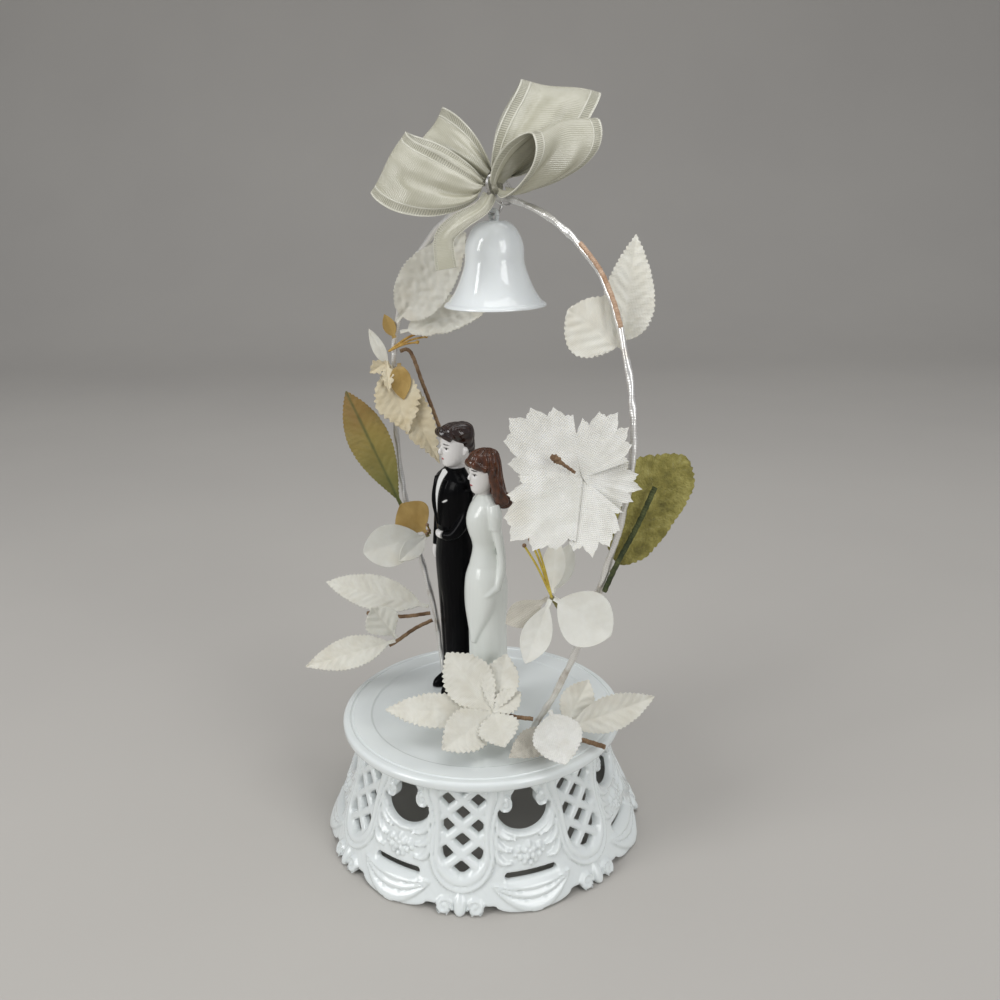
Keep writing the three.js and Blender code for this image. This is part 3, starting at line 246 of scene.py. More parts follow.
class Finish:
    def __init__(self, name, slot, **sockets):
        self.material = bpy.data.materials.new(name)
        self.material.use_nodes = True
        self.tree = self.material.node_tree
        self.shader = self.tree.nodes["Principled BSDF"]
        self.place = self.node("ShaderNodeTexCoord").outputs
        self.fill(self.shader, sockets)

    def feed(self, socket, source):
        """Links an output to a socket, or sets a constant on it."""
        if isinstance(source, bpy.types.NodeSocket):
            self.tree.links.new(source, socket)
        else:
            socket.default_value = (*source, 1) if socket.type == "RGBA" else source

    def fill(self, node, sockets):
        for key, source in sockets.items():
            self.feed(node.inputs[key.replace("_", " ")], source)
        return node

    def node(self, kind, **sockets):
        return self.fill(self.tree.nodes.new(kind), sockets)

    def to(self, socket, source):
        self.tree.links.new(source, self.shader.inputs[socket])

    def uv(self):
        part = self.node("ShaderNodeSeparateXYZ", Vector=self.place["UV"])
        return part.outputs["X"], part.outputs["Y"]

    def spots(self, scale, detail=3, rough=0.55):
        return self.node("ShaderNodeTexNoise", Vector=self.place["Object"], Scale=scale, Detail=detail,
                         Roughness=rough).outputs["Fac"]

    def waves(self, scale, direction, distort, detail_scale=1.0):
        made = self.node("ShaderNodeTexWave", Vector=self.place["UV"], Scale=scale, Distortion=distort,
                         Detail_Scale=detail_scale)
        made.bands_direction = direction
        return made.outputs["Fac"]

    def ramp(self, source, *stops):
        made = self.node("ShaderNodeValToRGB", Fac=source)
        band = made.color_ramp
        while len(band.elements) < len(stops):
            band.elements.new(0.5)
        for element, (place, colour) in zip(band.elements, stops):
            element.position = place
            element.color = (*colour, 1)
        return made.outputs["Color"]

    def mix(self, a, b, share):
        made = self.tree.nodes.new("ShaderNodeMix")
        made.data_type = "RGBA"
        for socket, source in ((0, share), (6, a), (7, b)):
            self.feed(made.inputs[socket], source)
        return made.outputs[2]

    def math(self, kind, a, b=0.0):
        made = self.node("ShaderNodeMath")
        made.operation = kind
        self.feed(made.inputs[0], a)
        self.feed(made.inputs[1], b)
        return made.outputs[0]

    def range(self, source, low, high, start=0.0, end=1.0):
        made = self.node("ShaderNodeMapRange", Value=source)
        for socket, value in zip((1, 2, 3, 4), (start, end, low, high)):
            made.inputs[socket].default_value = value
        return made.outputs["Result"]

    def bump(self, height, distance, strength):
        made = self.node("ShaderNodeBump", Height=height, Distance=distance, Strength=strength)
        self.to("Normal", made.outputs["Normal"])


def gloss_plastic(name, slot, light, shade, roughness):
    f = Finish(name, slot, IOR=1.5, Coat_Weight=0.3, Coat_Roughness=0.04, Subsurface_Weight=0.12,
               Subsurface_Radius=(0.004, 0.004, 0.0035), Subsurface_Scale=0.3)
    f.to("Base Color", f.ramp(f.spots(45), (0.3, shade), (0.7, light)))
    f.to("Roughness", f.range(f.spots(240), roughness, roughness + 0.06))
    f.bump(f.spots(420, 2), 0.000012, 0.3)
    return f.material


def wound_thread():
    """Silver thread wound round the wire in fine turns, tarnished here and there, with painted shade between the turns.
    """
    f = Finish("wound_silver_thread", "silver_foil", Metallic=0.7)
    around, along = f.uv()
    turns = f.math("ADD", f.math("MULTIPLY", along, 135.0), around)
    thread = f.math("SINE", f.math("MULTIPLY", turns, TURN))
    silver = f.ramp(f.spots(90, 5), (0.27, (0.50, 0.44, 0.37)), (0.4, (0.80, 0.785, 0.75)),
                    (0.7, (0.88, 0.875, 0.85)))
    # Painted shade: the silver darkens in the troughs between the thread's turns
    f.to("Base Color", f.mix(silver, (0.55, 0.51, 0.45), f.range(thread, 0.25, 0.0, -1.0, 0.0)))
    f.to("Roughness", f.range(f.spots(500, 4), 0.26, 0.4))
    f.bump(f.math("ADD", f.math("MULTIPLY", thread, 0.5), f.spots(900)), 0.00004, 0.5)
    return f.material


def bright_wire():
    f = Finish("silver_wire", "silver_wire", Metallic=1.0)
    colour = (0.75, 0.74, 0.72)
    dull = tuple(c * 0.7 for c in colour)
    f.to("Base Color", f.ramp(f.spots(300, 4), (0.35, dull), (0.65, colour)))
    f.to("Roughness", f.range(f.spots(700), 0.18, 0.38))
    return f.material


def woven(name, slot, light, shade, stain, thread=0.42, weave=0.00012, translucent=0.1):
    """Cloth with a plain weave on the piece's UV map, mottled by age, with painted shade between the threads."""
    f = Finish(name, slot, Roughness=0.9, Sheen_Weight=0.25, Sheen_Roughness=0.5, Specular_IOR_Level=0.25,
               Subsurface_Weight=translucent, Subsurface_Radius=(0.002, 0.0018, 0.0014))
    warp, weft = (f.waves(31.4 / thread, way, 1.2, 0.6) for way in "XY")
    threads = f.math("MULTIPLY", warp, weft)
    age = f.mix(f.ramp(f.spots(170, 5), (0.35, shade), (0.62, light)), stain,
                f.range(f.spots(60), 0.0, 0.55, 0.55, 0.8))
    # Painted shade: darker between the threads, in the weave's hollows
    f.to("Base Color", f.mix(age, shade, f.range(threads, 0.3, 0.0, 0.0, 0.6)))
    f.bump(threads, weave, 0.8)
    return f.material


def satin():
    """Ribbon across the UV's u: a ribbed middle, sheer ladder bands and corded edges."""
    f = Finish("ivory_satin_ribbon", "ribbon_satin", Anisotropic=0.6, Specular_IOR_Level=1.0)
    across, _ = f.uv()
    off = f.math("ABSOLUTE", f.math("SUBTRACT", across, 0.5))
    dark, bright = (0, 0, 0), (1, 1, 1)
    band = f.ramp(off, (0.385, dark), (0.395, bright), (0.472, bright), (0.48, dark))
    cord = f.ramp(off, (0.36, dark), (0.368, bright), (0.38, bright), (0.39, dark), (0.47, dark), (0.48, bright))
    rung = f.ramp(f.waves(62, "Y", 0.3), (0.25, dark), (0.6, bright))
    ribs = f.waves(70, "Y", 0.5)
    gaps = f.math("MULTIPLY", band, f.math("SUBTRACT", 1.0, rung))
    tone = f.ramp(f.spots(110, 4), (0.3, (0.44, 0.425, 0.32)), (0.7, (0.55, 0.535, 0.43)))
    # Painted shade: the satin darkens in the troughs between the ribs
    ribbed = f.mix(tone, (0.33, 0.315, 0.225), f.range(ribs, 0.3, 0.0, 0.0, 0.6))
    f.to("Base Color", f.mix(ribbed, (0.74, 0.73, 0.63), f.math("MULTIPLY", cord, 0.6)))
    f.to("Roughness", f.range(band, 0.24, 0.42))
    rungs = f.math("MULTIPLY", rung, f.math("MULTIPLY", band, 0.6))
    height = f.math("ADD", f.math("MULTIPLY", cord, 1.6), rungs)
    f.bump(f.math("ADD", height, f.math("MULTIPLY", ribs, 0.6)), 0.0001, 0.8)
    f.to("Alpha", f.range(gaps, 0.97, 0.62))
    return f.material


def painted(name, slot, coat, gloss):
    """Hand paint on moulded plastic: the colours are in the mesh's paint attribute."""
    f = Finish(name, slot, IOR=1.5, Coat_Weight=coat, Coat_Roughness=0.06, Specular_IOR_Level=gloss)
    brushed = f.node("ShaderNodeAttribute")
    brushed.attribute_name = "paint"
    colour = brushed.outputs["Color"]
    worn = f.mix(colour, (0.9, 0.88, 0.84), f.range(f.spots(900, 4), 0.0, 0.12, 0.7, 0.85))
    f.to("Base Color", f.mix(worn, colour, f.range(f.spots(120, 2), 0.5, 1.0)))
    f.to("Roughness", f.range(f.spots(400), 0.16, 0.3))
    f.bump(f.spots(500), 0.00003, 0.4)
    return f.material


def taped(name, slot, light, dark):
    f = Finish(name, slot, Roughness=0.75)
    wind = f.waves(40, "Y", 2.0, 2.0)
    # Painted shade: darker in the hollows between the tape's turns
    f.to("Base Color", f.mix(f.ramp(f.spots(350, 4), (0.35, dark), (0.65, light)), dark,
                             f.range(wind, 0.35, 0.0, 0.0, 0.5)))
    f.bump(f.math("ADD", wind, f.spots(1200)), 0.00012, 0.8)
    return f.material


def smooth_olive():
    """Left leaf: gold at the tip, green at the foot, a dark line along the midrib."""
    f = Finish("smooth_olive_leaf", "olive_cloth", Roughness=0.55, Sheen_Weight=0.2)
    across, along = f.uv()
    blend = f.math("ADD", f.math("MULTIPLY", along, 2.1), f.math("MULTIPLY", f.spots(110, 4), 0.35))
    hue = f.ramp(blend, (0.15, (0.10, 0.12, 0.025)), (0.45, (0.21, 0.19, 0.04)), (0.8, (0.29, 0.22, 0.05)),
                 (1.0, (0.25, 0.155, 0.035)))
    middle = f.math("ABSOLUTE", f.math("SUBTRACT", across, 0.075))
    rib = f.range(f.math("ADD", middle, f.math("MULTIPLY", f.spots(260), 0.008)), 0.75, 0.0, 0.004, 0.012)
    veined = f.mix(hue, (0.06, 0.085, 0.02), rib)
    f.to("Base Color", f.mix(veined, (0.15, 0.14, 0.04), f.range(f.spots(420, 4), 0.0, 0.5, 0.55, 0.8)))
    f.bump(f.spots(900, 4), 0.00015, 0.7)
    return f.material


def velvet_olive():
    """Right leaf: mottled, deeply crinkled velvet."""
    f = Finish("crinkled_velvet_leaf", "olive_cloth", Roughness=0.85, Sheen_Weight=0.6, Sheen_Roughness=0.4)
    mottle = f.spots(190, 6, 0.65)
    f.to("Base Color", f.ramp(mottle, (0.3, (0.12, 0.105, 0.022)), (0.48, (0.25, 0.22, 0.05)),
                              (0.64, (0.37, 0.33, 0.10))))
    f.bump(f.math("ADD", mottle, f.spots(1500)), 0.0006, 0.9)
    return f.material


WHITE_PLASTIC = gloss_plastic("glossy_white_plastic", "white_plastic", (0.78, 0.82, 0.81), (0.755, 0.795, 0.785), 0.14)
BELL_PLASTIC = gloss_plastic("bell_white_plastic", "bell_plastic", (0.875, 0.915, 0.915), (0.865, 0.905, 0.905), 0.03)
THREAD, WIRE, SATIN = wound_thread(), bright_wire(), satin()
IVORY = woven("ivory_cloth", "ivory_cloth", (0.77, 0.76, 0.685), (0.68, 0.66, 0.575), (0.60, 0.52, 0.38))
AGED = woven("aged_ivory_cloth", "ivory_cloth", (0.74, 0.67, 0.50), (0.64, 0.55, 0.37), (0.55, 0.42, 0.2))
IVORY_FINE = woven("fine_ivory_cloth", "ivory_cloth", (0.81, 0.81, 0.75), (0.73, 0.72, 0.65), (0.66, 0.60, 0.46), 0.3)
WHITE_WEAVE = woven("white_weave_cloth", "ivory_cloth", (0.85, 0.845, 0.80), (0.72, 0.71, 0.65), (0.68, 0.62, 0.49),
                    0.55, 0.0002)
TAN = woven("tan_cloth", "tan_cloth", (0.52, 0.36, 0.13), (0.40, 0.26, 0.08), (0.32, 0.19, 0.05))
# A darker ivory cloth: its darkness is painted shade for the petal and the leaf set back behind others
SHADED_IVORY_CLOTH = woven("shaded_ivory_cloth", "tan_cloth", (0.62, 0.59, 0.51), (0.50, 0.47, 0.40), (0.46, 0.40, 0.28),
                   0.6, 0.0002, 0.0)
TAPE = taped("brown_tape", "brown_tape", (0.34, 0.22, 0.12), (0.16, 0.09, 0.045))
PEACH_TAPE = taped("peach_tape", "brown_tape", (0.62, 0.44, 0.31), (0.42, 0.25, 0.15))
DARK_TAPE = taped("dark_green_tape", "olive_cloth", (0.10, 0.115, 0.035), (0.03, 0.042, 0.012))
GREEN_TAPE = taped("olive_tape", "olive_cloth", (0.33, 0.30, 0.11), (0.2, 0.17, 0.06))
GOLD = taped("gold_thread", "gold_thread", (0.66, 0.43, 0.11), (0.38, 0.2, 0.04))
YELLOW = taped("yellow_thread", "gold_thread", (0.68, 0.55, 0.10), (0.5, 0.36, 0.05))
PAINT = painted("gloss_paint", "gown_gloss", 0.4, 0.5)
BLACK_PAINT = painted("black_gloss_paint", "groom_paint", 0.02, 0.06)
SMOOTH_OLIVE, VELVET_OLIVE = smooth_olive(), velvet_olive()

# Platform, arch and their places
SKIRT_HEIGHT, SKIRT_FOOT, SKIRT_TOP, SKIRT_FLARE, SKIRT_WALL = 39.2, 55.0, 42.0, 1.5, 2.0
PLATFORM_TOP, PLATFORM_RADIUS, PLATFORM_RIM, DISH_TOP, DISH_RADIUS = 43.0, 48.0, 3.5, 42.6, 38.2
DISH_WALL, COLLAR_WALL, COLLAR_GAP, COLLAR_DEEP, RIM_UNDER, RIM_OVER = 1.8, 1.8, 1.2, 3, 1.5, 1.3
ARCH_RADIUS, ARCH_POINTS, CLEARANCE, LEAF_TAB, STEM, THICK_STEM = 1.1, 601, 0.3, 1.2, 1.4, 1.6
CLINCH = DISH_TOP - DISH_WALL - CLEARANCE - ARCH_RADIUS - 1.4
LEFT_FOOT, RIGHT_FOOT = (-27.4, 3.0), (26.7, -0.3)


def leg(foot):
    x, y = foot
    inward = math.copysign(1, x)
    return [at(x - inward * 9, y, CLINCH), at(x - inward * 3, y, CLINCH), at(x, y, CLINCH + 2.4),
            at(x, y, PLATFORM_TOP + ARCH_RADIUS)]


BENDS = [at(x, y, PLATFORM_TOP + h) for x, y, h in (
    (-30, 2.5, 22), (-36.4, 1.5, 43), (-43.9, 0.4, 65), (-50, 1.5, 95), (-49.6, 3, 122), (-41, 5, 146),
    (-22, 7.5, 163), (-6, 8.8, 168.6), (2.2, 9.2, 169.3), (9.5, 9.5, 168.5), (25.4, 11, 163),
    (44.5, 11.5, 149), (54.7, 11, 130), (60.5, 9.6, 106), (59.6, 7.6, 86), (54.4, 5, 64), (45.8, 2.2, 38),
    (36.5, 0.6, 18))]
ARCH = smooth_line([*leg(LEFT_FOOT), *BENDS, *leg(RIGHT_FOOT)[::-1]], ARCH_POINTS)
FRONT = at(0.75, -0.586, 0.305)
FLAT = at(0.4, -0.3, 0.87)


def beside_arch(side, height, towards, radius):
    """A seat against the arch at a height above the platform, on the side that towards points to."""
    middle = ARCH_POINTS // 2
    half = range(1, middle) if side == "left" else range(middle, ARCH_POINTS - 1)
    i = min(half, key=lambda k: abs(ARCH[k][2] - PLATFORM_TOP - height))
    along = unit(ARCH[i + 1] - ARCH[i - 1])
    out = unit(towards - along * (towards @ along))
    return ARCH[i] + out * (ARCH_RADIUS + CLEARANCE + radius)


def arch_over(x):
    """The point of the arch's upper part at a place across it."""
    return min(ARCH[ARCH_POINTS // 3:2 * ARCH_POINTS // 3], key=lambda p: abs(p[0] - x))


# Pedestal skirt: one bay drawn flat as distances, wrapped seven times round the flared wall
BAYS, DRAWING_RADIUS = 7, 52.0
PITCH = TURN * DRAWING_RADIUS / BAYS
CARTOUCHE_TURN = math.radians(44.2)
INNER, INNER_CENTRE, OUTER, OUTER_CENTRE = 7.8, 18.8, 11.4, 18.0
LATTICE_TOP, LATTICE_RISE, LATTICE_PITCH, STRAP = 29.3, 8.1, 11.8, 2.7
MOON, MOON_WIDE, MOON_DEEP, MOON_TOP = 28.9, 10.2, 6.3, 37.2
VOLUTE, VOLUTE_LEVEL, VOLUTE_RADIUS = 7.4, 32.2, 2.4
SLOT, SLOT_LONG, NOTCH, NOTCH_LEVEL = 10.4, 7.9, 11.0, 2.8
LOBE, LOBE_LEVEL, LOBE_RADIUS = 4.9, 2.8, 2.5
SWAG_HALF, SWAG_TOP, SWAGS = 13.8, 8.9, ((0.6, 2.7), (2.7, 5.1), (5.1, 8.9))
# The flower between two cartouches: its level, five petals at fifths of a turn, and the buds under it
BLOOM_LEVEL, BLOOM_RADIUS, FIFTH = 17.2, 1.7, 1.2566
BUDS = ((3.8, 17.9, 1.05), (3.4, 15.7, 1.0), (1.9, 14.4, 0.95), (0, 13.8, 0.9), (5.0, 16.6, 0.75))
FLUTES = (((10.9, 27.4), (10.3, 24.2), (8.2, 22.2), (4.6, 21.2)),
          ((11.4, 23.6), (11.1, 20.6), (9.2, 18.7), (6.5, 17.9)),
          ((11.5, 18.6), (11.0, 16.2), (9.2, 14.6), (6.9, 14.4)))
# The grid's cell over the drawing, the share of it from which points go to an edge, and the step for slopes
CELL, SNAP, SLOPE_STEP = 0.5, 0.56, 0.02
# Moulded edges fall away by this much over this width
EDGE_DROP, EDGE_WIDE = 0.35, 0.45


def ellipse_gap(u, z, cu, cz, a, b):
    """Roughly the distance outside an ellipse, negative inside."""
    k = np.hypot((u - cu) / a, (z - cz) / b)
    g = np.hypot((u - cu) / a**2, (z - cz) / b**2)
    return k * (k - 1) / np.maximum(g, 1e-6)


def frame_gaps(u, z):
    """Distances outside the cartouche's inner and outer edge lines."""
    a = np.abs(u)
    widen = np.clip((z - 21.5) / 13, 0, 1) ** 2 * 1.6
    inner = np.where(z > INNER_CENTRE, a - INNER - widen, np.hypot(a, z - INNER_CENTRE) - INNER)
    flare = np.clip((z - 21) / 10, 0, 1.3) ** 2.2 * 2.5
    outer = np.where(z > OUTER_CENTRE, a - OUTER - flare, np.hypot(a, z - OUTER_CENTRE) - OUTER)
    return inner, outer


def lattice_gap(u, z):
    """Distance to the nearest lattice strap's middle line."""
    steep = math.hypot(1 / LATTICE_RISE, 1 / LATTICE_PITCH)
    lines = [(z - LATTICE_TOP) / LATTICE_RISE + hand * u / LATTICE_PITCH for hand in (1, -1)]
    return np.minimum(*[np.abs(line - np.floor(line) - 0.5) / steep for line in lines])


def from_bay(u):
    """Signed place along the wall from the middle of the bay beside a cartouche."""
    return (u + PITCH) % PITCH - PITCH / 2


def wall_left(u, z):
    """How far inside the pierced wall a point of the drawing is: above zero is plastic."""
    a = np.abs(u)
    w = np.abs(from_bay(u))
    scallop = -ellipse_gap(w, z, 0, NOTCH_LEVEL, PITCH / 2 - NOTCH, NOTCH_LEVEL - 0.2)
    lobe = LOBE_RADIUS - np.hypot(a - LOBE, z - LOBE_LEVEL)
    drop = 1.9 - np.hypot(a, np.minimum(z - 1.9, 0) + np.maximum(z - 4, 0))
    body = np.maximum.reduce([z - NOTCH_LEVEL, scallop, lobe, drop])
    inner, _ = frame_gaps(u, z)
    diamonds = np.maximum(inner + 0.25, STRAP / 2 - lattice_gap(u, z))
    moon = np.where(z < MOON, ellipse_gap(w, z, 0, MOON, MOON_WIDE, MOON_DEEP),
                    ellipse_gap(w, z, 0, MOON, MOON_WIDE, 4.4))
    neck = np.maximum(w - (2.8 + 3.2 * np.clip((MOON_TOP - z) / 4, 0, 1) ** 1.5),
                      np.maximum(z - MOON_TOP, MOON - 1 - z))
    moon = np.maximum(np.minimum(moon, neck), VOLUTE_RADIUS + 0.3 - np.hypot(w - VOLUTE, z - VOLUTE_LEVEL))
    slot = np.hypot(np.maximum(w - SLOT_LONG, 0), z - SLOT) - 1.2
    return np.minimum.reduce([body, diamonds, moon, slot])


def ridge(gap, half):
    return np.sqrt(np.clip(1 - (gap / half) ** 2, 0, 1))


def curled(away, turn, radius, pitch):
    """A scroll: a ridge that winds in towards its eye."""
    wound = 0.5 + 0.5 * np.cos(TURN * (away / pitch + turn / TURN))
    return np.where(away < radius, 0.45 + 0.6 * wound**0.7, 0)


def carving(u, z):
    """Height of the moulded relief over the wall."""
    a = np.abs(u)
    w = np.abs(from_bay(u))
    inner, outer = frame_gaps(u, z)
    inside = np.clip(inner / np.maximum(inner - outer, 1e-3), 0, 1)
    band = (inner > 0) & (outer < 0)
    rim = np.where(band, 0.25 + 0.85 * np.maximum(ridge(inside - 0.3, 0.3), 0.9 * ridge(inside - 0.8, 0.2)), 0)
    lattice = np.where(inner < 0.3, 0.6 * ridge(lattice_gap(u, z), STRAP / 2 + 0.1) - 0.2, 0)
    share = np.clip(1 - (w / SWAG_HALF) ** 2, 0.001, 1)
    depth = (SWAG_TOP - z) / share
    swag = np.zeros_like(u)
    for low, high in SWAGS:
        swag = np.maximum(swag, ridge(depth - (low + high) / 2, (high - low) / 2) * share**0.25)
    swag = np.where((w < SWAG_HALF) & (outer > 0), swag, 0)
    curl = curled(np.hypot(w - VOLUTE, z - VOLUTE_LEVEL), np.arctan2(z - VOLUTE_LEVEL, w - VOLUTE),
                  VOLUTE_RADIUS + 0.4, 1.7)
    flower = np.zeros_like(u)
    for k in range(5):
        x, y = BLOOM_RADIUS * math.sin(k * FIFTH), BLOOM_LEVEL + BLOOM_RADIUS * math.cos(k * FIFTH)
        flower = np.maximum(flower, 1.15 * ridge(np.hypot(from_bay(u) - x, z - y), 1.2))
    flower = np.maximum(flower, 1.3 * ridge(np.hypot(w, z - BLOOM_LEVEL), 0.8))
    for x, y, r in BUDS:
        flower = np.maximum(flower, 0.9 * ridge(np.hypot(w - x, z - y), r))
    plume = np.zeros_like(u)
    for line in FLUTES:
        for step, (x, y) in enumerate(smooth_line(line, 30)):
            size = 0.55 + 0.6 * math.sin(math.pi * min(step / 24, 1))
            plume = np.maximum(plume, 0.95 * ridge(np.hypot(w - x, z - y), size))
    plume = np.where(outer > 0.1, plume, 0)
    moon_rim = 0.55 * ridge(ellipse_gap(w, z, 0, MOON, MOON_WIDE, MOON_DEEP) - 0.8, 0.8) * (z < MOON + 0.5)
    drop = 1.1 * ridge(np.hypot(a / 1.75, (z - 2.8) / np.where(z > 2.8, 3.8, 2.7)), 1.0)
    lobe = curled(np.hypot(a - LOBE, z - LOBE_LEVEL), -np.arctan2(z - LOBE_LEVEL, a - LOBE), LOBE_RADIUS, 1.6)
    top = 0.5 * ridge(z - 38.4, 0.8)
    relief = np.maximum.reduce([rim, lattice, swag, curl, flower, plume, moon_rim, drop, lobe, top])
    plain = np.clip(1 - relief / 0.2, 0, 1)
    stipple = 0.05 * np.sin(u * 6.1 + 1.7 * np.sin(z * 4.3)) * np.sin(z * 6.7 + 1.3 * np.sin(u * 3.9))
    return relief + stipple * plain


def carved_skirt():
    """The wall as a grid whose points near an edge of the drawing are drawn onto it."""
    columns = BAYS * round(PITCH / CELL)
    rows = round(SKIRT_HEIGHT / CELL)
    u, z = np.meshgrid(np.linspace(-PITCH / 2, BAYS * PITCH - PITCH / 2, columns, endpoint=False),
                       np.linspace(0, SKIRT_HEIGHT, rows + 1), indexing="ij")

    def local(x):
        return (x + PITCH / 2) % PITCH - PITCH / 2

    left = wall_left(local(u), z)
    du = (wall_left(local(u + SLOPE_STEP), z) - wall_left(local(u - SLOPE_STEP), z)) / (2 * SLOPE_STEP)
    dz = (wall_left(local(u), z + SLOPE_STEP) - wall_left(local(u), z - SLOPE_STEP)) / (2 * SLOPE_STEP)
    steep = np.maximum(du**2 + dz**2, 0.25)
    near = np.abs(left) < SNAP * CELL * np.sqrt(steep)
    u = np.where(near, u - left * du / steep, u)
    z = np.clip(np.where(near, z - left * dz / steep, z), 0, SKIRT_HEIGHT)
    kept = near | (left > 0)
    relief = carving(local(u), z)
    edge = np.clip(wall_left(local(u), z) / EDGE_WIDE, 0, 1)
    relief = relief - EDGE_DROP * (1 - edge) ** 2

    def wrapped(depth):
        angle = CARTOUCHE_TURN + u / DRAWING_RADIUS
        spread = np.clip(1 - z / SKIRT_HEIGHT, 0, 1) ** SKIRT_FLARE
        radius = SKIRT_TOP + (SKIRT_FOOT - SKIRT_TOP) * spread - SKIRT_WALL + depth
        return np.stack([radius * np.sin(angle), -radius * np.cos(angle), z], -1).reshape(-1, 3)

    stride = rows + 1
    number = np.arange(columns * stride).reshape(columns, stride)
    corner = [number[:, :-1], np.roll(number, -1, 0)[:, :-1], np.roll(number, -1, 0)[:, 1:], number[:, 1:]]
    inside = [kept.ravel()[c] for c in corner]
    count = sum(i.astype(int) for i in inside)
    sheet = [tuple(q) for q in np.stack([c[count == 4] for c in corner], -1).tolist()]
    for gone in range(4):
        rest = [k for k in range(4) if k != gone]
        three = (count == 3) & ~inside[gone]
        sheet += [tuple(q) for q in np.stack([corner[k][three] for k in rest], -1).tolist()]
    total = columns * stride
    edges = dict.fromkeys((a, b) for face in sheet for a, b in zip(face, face[1:] + face[:1]))
    rims = [(b, a, a + total, b + total) for a, b in edges if (b, a) not in edges]
    faces = sheet + [tuple(i + total for i in face[::-1]) for face in sheet] + rims
    obj = meshed("carved_pedestal_skirt", np.vstack([wrapped(SKIRT_WALL + relief), wrapped(0)]), faces)
    edited(obj, (bpy.ops.mesh.delete_loose, {}))
    return smooth(outward(obj), SKIRT_ANGLE)


finished(carved_skirt(), WHITE_PLASTIC, "pedestal_skirt")


def platform():
    """A dished disc with a rounded, grooved rim, a collar below and two drilled holes."""
    under = PLATFORM_TOP - PLATFORM_RIM
    rim = [(PLATFORM_RADIUS - RIM_UNDER * (1 - math.sin(t)), under + RIM_UNDER - RIM_UNDER * math.cos(t))
           for t in np.linspace(0, math.pi / 2, 8)]
    crown = [(PLATFORM_RADIUS - RIM_OVER * (1 - math.cos(t)), PLATFORM_TOP - RIM_OVER + RIM_OVER * math.sin(t))
             for t in np.linspace(0.1, math.pi / 2, 8)]
    groove = PLATFORM_RADIUS - 2.9
    grooved = [(groove + 0.6 * math.cos(t), PLATFORM_TOP - 0.35 * math.sin(t)) for t in np.linspace(0, math.pi, 7)]
    step = [(DISH_RADIUS + 0.5 - t, PLATFORM_TOP - 0.4 * (3 * t**2 - 2 * t**3)) for t in np.linspace(0, 1, 6)]
    collar, floor = SKIRT_TOP - SKIRT_WALL - COLLAR_GAP, DISH_TOP - DISH_WALL
    below = [(0, floor), (collar - COLLAR_WALL, floor), (collar - COLLAR_WALL, under - COLLAR_DEEP),
             (collar, under - COLLAR_DEEP), (collar, under)]
    dish = [(DISH_RADIUS - 6, DISH_TOP - 0.05), (18, DISH_TOP - 0.12), (0, DISH_TOP - 0.15)]
    profile = [*below, *rim, *crown, *grooved, *step, *dish]
    disc = turned("platform", profile, (0, 0), 160)
    for x, y in (LEFT_FOOT, RIGHT_FOOT):
        drill = added(bpy.ops.mesh.primitive_cylinder_add, vertices=24, radius=(ARCH_RADIUS + 0.8) * MM,
                      depth=20 * MM, location=at(x, y, PLATFORM_TOP) * MM)
        applied(disc, "BOOLEAN", object=drill, operation="DIFFERENCE", solver="EXACT")
        bpy.data.objects.remove(drill)
    return smooth(disc, DISC_ANGLE)


finished(platform(), WHITE_PLASTIC, "platform_disc")


# Arch: a wire of two twisted strands, uneven under its winding
def crushed(run, turn):
    lobes = 0.90 + 0.10 * np.cos(2 * (turn - TURN * run / 23 - 0.5 * np.sin(run * 0.23)))
    wind = 0.025 * np.sin(TURN * run / 3.1 + turn)
    small = 0.035 * np.sin(run * 3.1 + 2 * turn) * np.sin(run * 1.7 - 3 * turn + 1.1)
    return lobes + wind + small + 0.05 * np.sin(run * 0.41 + turn)


arch = tube("foil_arch", smooth_line(ARCH, 1100), ARCH_RADIUS, 16, crushed)
finished(smooth(arch, ROUND_ANGLE), THREAD, "arch_wire")

# Bell, hanger and clapper: each link's wire, and the radius of its ring
LINK_WIRE, EYE_WIRE, EYE_RADIUS = 0.9, 1.3, 1.7
HANGER_WIDE, HANGER_HIGH, STAPLE_RADIUS, STAPLE_SUNK = 3.2, 3.4, 1.5, 0.65
BELL_HEIGHT, BELL_RIM, BELL_WALL = 25.8, 16.0, 1.3
CLAPPER_DROP, CLAPPER_BALL = 15, 2.4
BELL_TOP = arch_over(0)
HANGER_TOP = BELL_TOP[2] + ARCH_RADIUS + CLEARANCE + LINK_WIRE / 2
HANGER_FOOT = HANGER_TOP - 2 * HANGER_HIGH
EYE = HANGER_FOOT + LINK_WIRE / 2 + CLEARANCE + EYE_WIRE / 2 - EYE_RADIUS
CROWN = EYE - EYE_RADIUS + EYE_WIRE / 4
STAPLE = CROWN - BELL_WALL - STAPLE_RADIUS + STAPLE_SUNK
ACROSS, DEEP, UP = np.eye(3)
# The bell's outline as shares of its rim's radius and of its height, down from the crown
BELL_SHARES = ((0.07, 0), (0.25, 0.01), (0.43, 0.1), (0.56, 0.28), (0.58, 0.49), (0.66, 0.65), (0.81, 0.85), (1, 1))
# The bead round the rim, in from the rim's radius and up from the lip
RIM_BEAD = ((1.15, 1.35), (0.8, 1.2), (0.35, 0.95), (0, 0.45), (0, 0.15), (0.3, 0))


def hung(z):
    return at(*BELL_TOP[:2], z)


def ring(name, centre, a, b, right, up, thick):
    turn = np.linspace(0, TURN, 49)[:, None]
    line = centre + a * np.cos(turn) * right + b * np.sin(turn) * up
    return smooth(tube(name, line, thick / 2, 12), ROUND_ANGLE)


